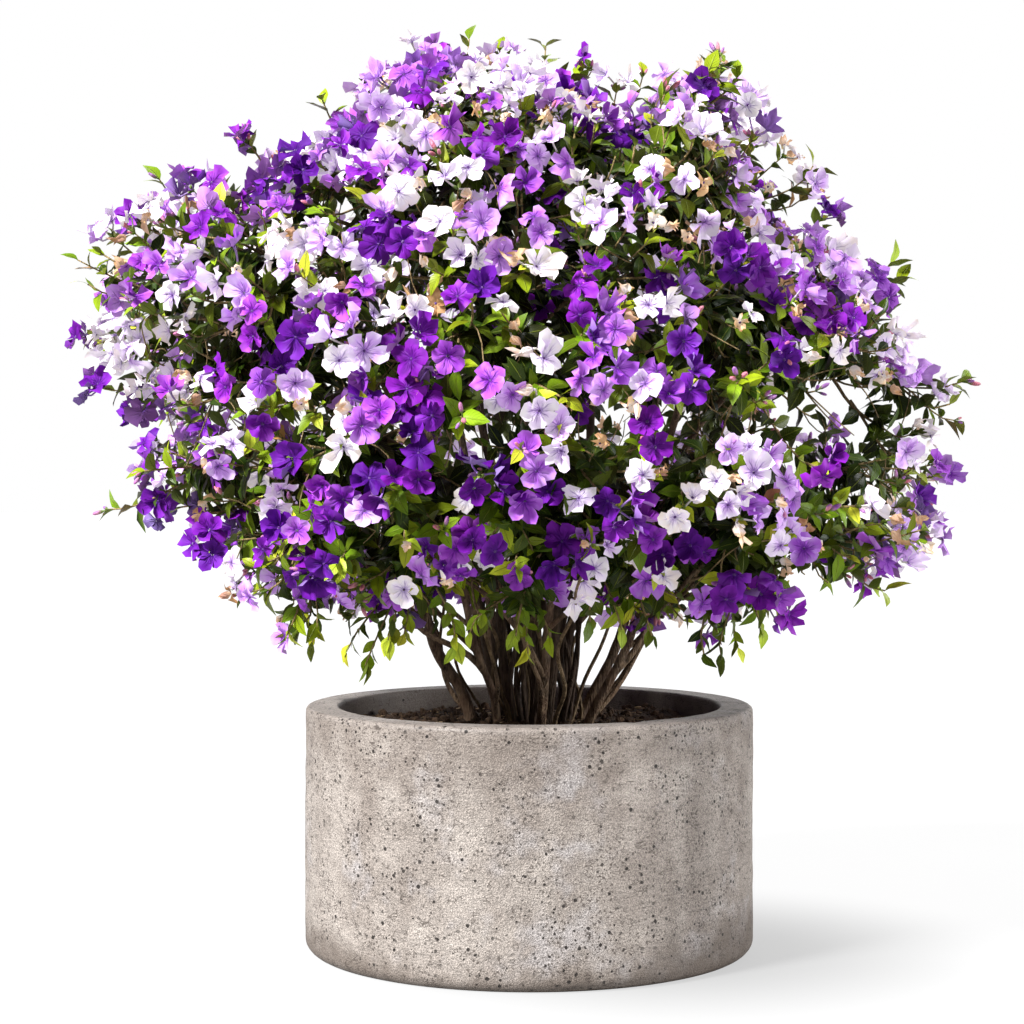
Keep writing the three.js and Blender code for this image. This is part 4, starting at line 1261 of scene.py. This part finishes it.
# Five broad lobes round a throat. A point's radius runs from the throat to a rounded, notched rim, its angle
# spans a little more than a fifth of a turn, and its height adds a dish, an overlap and a ruffle.
def flowerLobes(flowers, pick, draw):
    look = flowerLook
    n = len(pick)
    u, v = np.array([-1, -0.70, -0.24, 0.24, 0.70, 1]), np.array([0.0, 0.52, 1.0])
    u, v = u[None, None, None], v[None, None, :, None]
    radius = flowers["radius"][pick][:, None, None, None] * draw.uniform(0.90, 1.08, (n, 5, 1, 1))
    rim = 1 - look["rim"] * np.abs(u) ** 2.8 - look["notch"] * np.exp(-(u / 0.3) ** 2) * draw.uniform(
        0, 1, (n, 5, 1, 1)) + draw.normal(0, look["frill"], (n, 5, 1, 6))
    closing = np.where(flowers["age"][pick] > 1.2, draw.uniform(0.9, 1.35, n), 0.0)[:, None, None, None]
    closing = closing + draw.uniform(-0.10, 0.30, (n, 1, 1, 1)) * (closing == 0)
    span = look["throat"] + (radius * rim - look["throat"]) * v
    angle = np.arange(5)[None, :, None, None] * fullTurn / 5 + draw.uniform(0, fullTurn, (n, 1, 1, 1))
    angle = angle + u * look["across"] * (0.90 + 0.10 * v)
    dish = draw.uniform(*look["dish"], (n, 1, 1, 1)) + draw.normal(0, look["tilt"], (n, 5, 1, 1))
    crease = draw.normal(0, look["crease"], (n, 5, 3, 6))
    wave = np.sin(u * 4.4 + draw.uniform(0, fullTurn, (n, 5, 1, 1))) * look["ruffle"] * draw.uniform(
        0.4, 1.7, (n, 5, 1, 1))
    height = dish * v ** 2 + (look["overlap"] * u + crease) * v + wave * v ** 2 + 0.05 * (1 - u * u) * v
    height = radius * height
    flat = span * np.cos(closing * v) - height * np.sin(closing * v) * (closing > 0.5)
    height = height + (span - look["throat"]) * np.sin(closing)
    side, other = sidesOf(flowers["facing"][pick][:, None])
    side, other = side[:, 0, None, None, None], other[:, 0, None, None, None]
    facing = flowers["facing"][pick][:, None, None, None]
    points = flowers["centre"][pick][:, None, None, None] + facing * height[..., None]
    points = points + (side * np.cos(angle)[..., None] + other * np.sin(angle)[..., None]) * flat[..., None]
    uv = np.stack(np.broadcast_arrays(u * np.ones_like(span), v * np.ones_like(span)), -1)
    return points.reshape(n * 5, 18, 3), uv.reshape(n * 5, 18, 2)


def petalMaterial():
    look = flowerLook
    material, tree, shader = newMaterial("petal", 0.62, 0.16)
    age = attribute(tree, "age")
    tint = attribute(tree, "tint")
    across, along, _ = addNode(tree, "SeparateXYZ", {0: addNode(tree, "UVMap").outputs["UV"]}).outputs
    place = objectPlace(tree)
    cloud = mottle(tree, place, 85.0, 420.0)
    stage = times(tree, cloud["Blotch"], 0.16, calculate(tree, "ADD", age, -0.14))
    stage = times(tree, along, 0.15, stage)
    ramp = addNode(tree, "ValToRGB", {0: calculate(tree, "DIVIDE", stage, look["agesShown"])})
    stops = ramp.color_ramp.elements
    while len(stops) < len(look["stages"]):
        stops.new(0.5)
    for stop, (position, tone) in zip(stops, look["stages"]):
        stop.position, stop.color = position, tone
    # Dark veins fan out of the throat and one runs on along each lobe; the throat and the seams between lobes
    # get painted shade
    off = calculate(tree, "ABSOLUTE", across)
    fan = times(tree, across, math.pi * 3.5)
    vein = ranged(tree, calculate(tree, "ABSOLUTE", calculate(tree, "SINE", fan)), 0.34, 0.0)
    lines = times(tree, vein, ranged(tree, along, 0.74, 0.20))
    midrib = times(tree, ranged(tree, off, 0.15, 0.03), ranged(tree, along, 0.85, 0.30))
    seamShade = times(tree, ranged(tree, off, 0.80, 0.98), ranged(tree, along, 0.95, 0.40))
    dark = times(tree, lines, 0.80, ranged(tree, along, 0.30, 0.06, 0.0, 0.60))
    dark = times(tree, calculate(tree, "MAXIMUM", midrib, seamShade), 0.56, dark)
    fresh = ranged(tree, age, 1.25, 0.9, 0.0, 0.85)
    base = mixColours(tree, times(tree, dark, fresh), ramp.outputs["Color"], look["deepTone"])
    behind = addNode(tree, "NewGeometry").outputs["Backfacing"]
    pale = times(tree, behind, ranged(tree, age, 0.7, 0.3, 0.08, 0.42))
    base = mixColours(tree, pale, base, look["back"])
    shade = times(tree, tint, 0.10, 0.95)
    drift = times(tree, tint, ranged(tree, age, 0.6, 0.2, 0.10, look["hueDrift"]))
    red = calculate(tree, "ADD", drift, 0.98)
    base = shaded(tree, base, red, shade)
    # Painted glow: the pale petals emit their own colour, standing in for light that comes through them
    glowColour = mixColours(tree, ranged(tree, age, 0.15, 0.85, 0.04, 1.0), colour(0, 0, 0), base)
    tree.links.new(glowColour, shader.inputs["Emission Color"])
    shader.inputs["Emission Strength"].default_value = look["glow"]
    finish(tree, shader, base, times(tree, dark, -1.0), look["relief"])
    material.cycles.emission_sampling = "NONE"
    return material


# Tubes and calyces: green at the foot, then the pale of the flower
def tubeMaterial():
    look = flowerLook
    material, tree, shader = newMaterial("flower_tube", 0.55, 0.35)
    along = attribute(tree, "along")
    age = attribute(tree, "age")
    place = objectPlace(tree)
    spots = mottle(tree, place, 160.0, 600.0)
    green = mixColours(tree, spots["Blotch"], *look["calyx"])
    neck = mixColours(tree, ranged(tree, age, 0.1, 0.9), *look["neck"])
    base = mixColours(tree, ranged(tree, along, 0.36, 0.46), green, neck)
    base = mixColours(tree, ranged(tree, along, 0.93, 0.99), base, look["mouth"])
    finish(tree, shader, base, spots["Grain"], look["stalkRelief"])
    return material


# Buds: green at the foot, violet to red at the tip
def budMaterial():
    look = flowerLook
    material, tree, shader = newMaterial("bud", 0.5, 0.35)
    along = attribute(tree, "along")
    tint = attribute(tree, "tint")
    place = objectPlace(tree)
    spots = mottle(tree, place, 200.0, 700.0)
    tips = mixColours(tree, ranged(tree, tint, -0.5, 0.6), *look["budTips"])
    tips = mixColours(tree, times(tree, spots["Blotch"], 0.4), tips, look["budBlush"])
    base = mixColours(tree, ranged(tree, along, 0.30, 0.60), look["budFoot"], tips)
    finish(tree, shader, base, spots["Grain"], look["stalkRelief"])
    return material


def makeFoliage(shoots, twigCorners, twigBranch):
    foot, along, face, length, youth, branch = planLeaves(shoots, twigCorners, twigBranch)
    print("leaves:", len(foot), "shoots:", len(shoots["tip"]), "twigs:", len(twigCorners))
    material = leafMaterial()
    draw = np.random.default_rng(78)
    n = len(foot)
    width = length * leafLook["width"] * draw.uniform(0.82, 1.18, n)
    droop = leafLook["droop"] * draw.uniform(0.15, 1.35, n)
    fold = leafLook["fold"] * draw.uniform(0.3, 1.6, n)
    # Painted shade: leaves inside the crown get a lower tint, which paints them darker and browner
    tint = draw.uniform(-1, 1, n) - 1.4 * ((0.90 - shareOut(foot)) / 0.22).clip(0, 1)
    tint = np.where(foot[:, 2] < 0.42, np.minimum(tint, 0.9), tint)
    faces = gridFaces(leafLook["rows"], 3)[:, ::-1]
    for k in range(branchCount):
        mine = np.flatnonzero(branch == k)
        points, uv = leafBlades(*(v[mine] for v in (foot, along, face, length, width, droop, fold)), draw)
        corners = points.shape[1]
        parts = Parts()
        values = {"youth": np.repeat(youth[mine], corners), "tint": np.repeat(tint[mine], corners)}
        parts.add(points, repeated(faces, len(mine), corners), uv=uv, values=values)
        makePiece(f"leaves_{k + 1:02d}", parts, [material], [f"leaf_spray_{k + 1:02d}"])
        parts = Parts()
        chosen = twigBranch == k
        t = np.linspace(0, 1, 12)
        course, way = bezier(twigCorners[chosen], t[None])
        course = course + ripple(course, 0.05, 79)[..., None] * 0.0016 * np.sin(t * math.pi)[None, :, None]
        radius = np.interp(t, [0, 1], shootLook["twigRadius"]) * draw.uniform(0.8, 1.25, (chosen.sum(), 1))
        parts.addTubes(course, way, radius, 6, age=0.62)
        chosen = shoots["branch"] == k
        t = np.linspace(0, 1, 7)
        radius = np.interp(t, [0, 1], shootLook["shootRadius"]) * draw.uniform(0.85, 1.2, (chosen.sum(), 1))
        parts.addTubes(*bezier(shoots["corners"][chosen], t[None]), radius, 4, age=0.52 - 0.46 * t)
        # Bare side twigs that leave the shoots every way
        count = shootLook["strays"] // branchCount
        start, leave = bezier(shoots["corners"][chosen][draw.integers(0, chosen.sum(), count)],
                              draw.uniform(0.2, 0.9, (count, 1)))
        span = draw.uniform(*shootLook["strayLength"], (count, 1))
        heading = unit(leave[:, 0] * 0.6 + draw.normal(0, 0.7, (count, 3)))
        sag = draw.normal(0, 0.12, (count, 3)) * span
        start = start[:, 0]
        corners = bent(start, heading * span * 0.35 + sag, heading * span * 0.30 - sag, start + heading * span)
        corners = corners[(shareOut(corners[:, -1]) < shootLook["strayShare"]) & ~inGap(corners, 0).any(1)]
        radius = np.linspace(*shootLook["strayRadius"], 5)
        parts.addTubes(*bezier(corners, np.linspace(0, 1, 5)[None]), radius, 4, age=0.45)
        makePiece(f"twigs_{k + 1:02d}", parts, [bark], [f"leaf_spray_{k + 1:02d}"])


def makeFlowers(shoots):
    flowers = planFlowers(shoots)
    print("flowers:", len(flowers["age"]))
    materials = [petalMaterial(), tubeMaterial(), budMaterial()]
    draw = np.random.default_rng(85)
    budded = draw.uniform(0, 1, len(shoots["tip"])) < flowerLook["budShare"]
    budded &= shoots["kind"] != "hanging"
    budded = np.flatnonzero(budded | (shoots["kind"] == "budded"))
    for k in range(branchCount):
        pick = np.flatnonzero(flowers["branch"] == k)
        points, uv = flowerLobes(flowers, pick, draw)
        parts = Parts()
        lobes, corners = points.shape[:2]
        tint = np.repeat(draw.uniform(-1, 1, len(pick)), 5 * corners)
        values = {"age": np.repeat(flowers["age"][pick], 5 * corners), "tint": tint}
        parts.add(points, repeated(gridFaces(3, 6)[:, ::-1], lobes, corners), uv=uv, values=values)
        # Stalk, calyx and tube in one: thin, swelling to the calyx, thin again and open to the throat
        start, centre, facing = (flowers[key][pick] for key in ("start", "centre", "facing"))
        span = np.linalg.norm(centre - start, axis=1, keepdims=True)
        corners = bent(start, flowers["leave"][pick] * span * 0.35, facing * span * 0.45, centre)
        t, radius = np.array(flowerLook["tube"]).T
        parts.addTubes(*bezier(corners, t[None]), radius, 3, 1, along=t, age=flowers["age"][pick][:, None])
        # Buds: drops on short stalks beside the tip
        mine = np.repeat(budded[shoots["branch"][budded] == k], 3)
        heading = unit(shoots["out"][mine] + draw.normal(0, 0.55, (len(mine), 3)))
        size = draw.uniform(0.010, 0.021, (len(mine), 1))
        foot = shoots["tip"][mine]
        corners = bent(foot, heading * size * 0.4, heading * size * 0.2, foot + heading * size)
        t, radius = np.array(flowerLook["bud"]).T
        tint = draw.uniform(-1, 1, (len(mine), 1))
        parts.addTubes(*bezier(corners, t[None]), radius * size * 0.75, 5, 2, along=t, tint=tint)
        makePiece(f"flowers_{k + 1:02d}", parts, materials, [f"flower_cluster_{k + 1:02d}"])


makeCamera()
makeStudio()
makePlanter()
print("planter done")
makeSoil()
makeRootCrown()
makeStems()
print("soil and stems done")
shoots = planShoots()
twigCorners, twigBranch = growTwigs(shoots)
makeFoliage(shoots, twigCorners, twigBranch)
makeFlowers(shoots)
print("crown done")
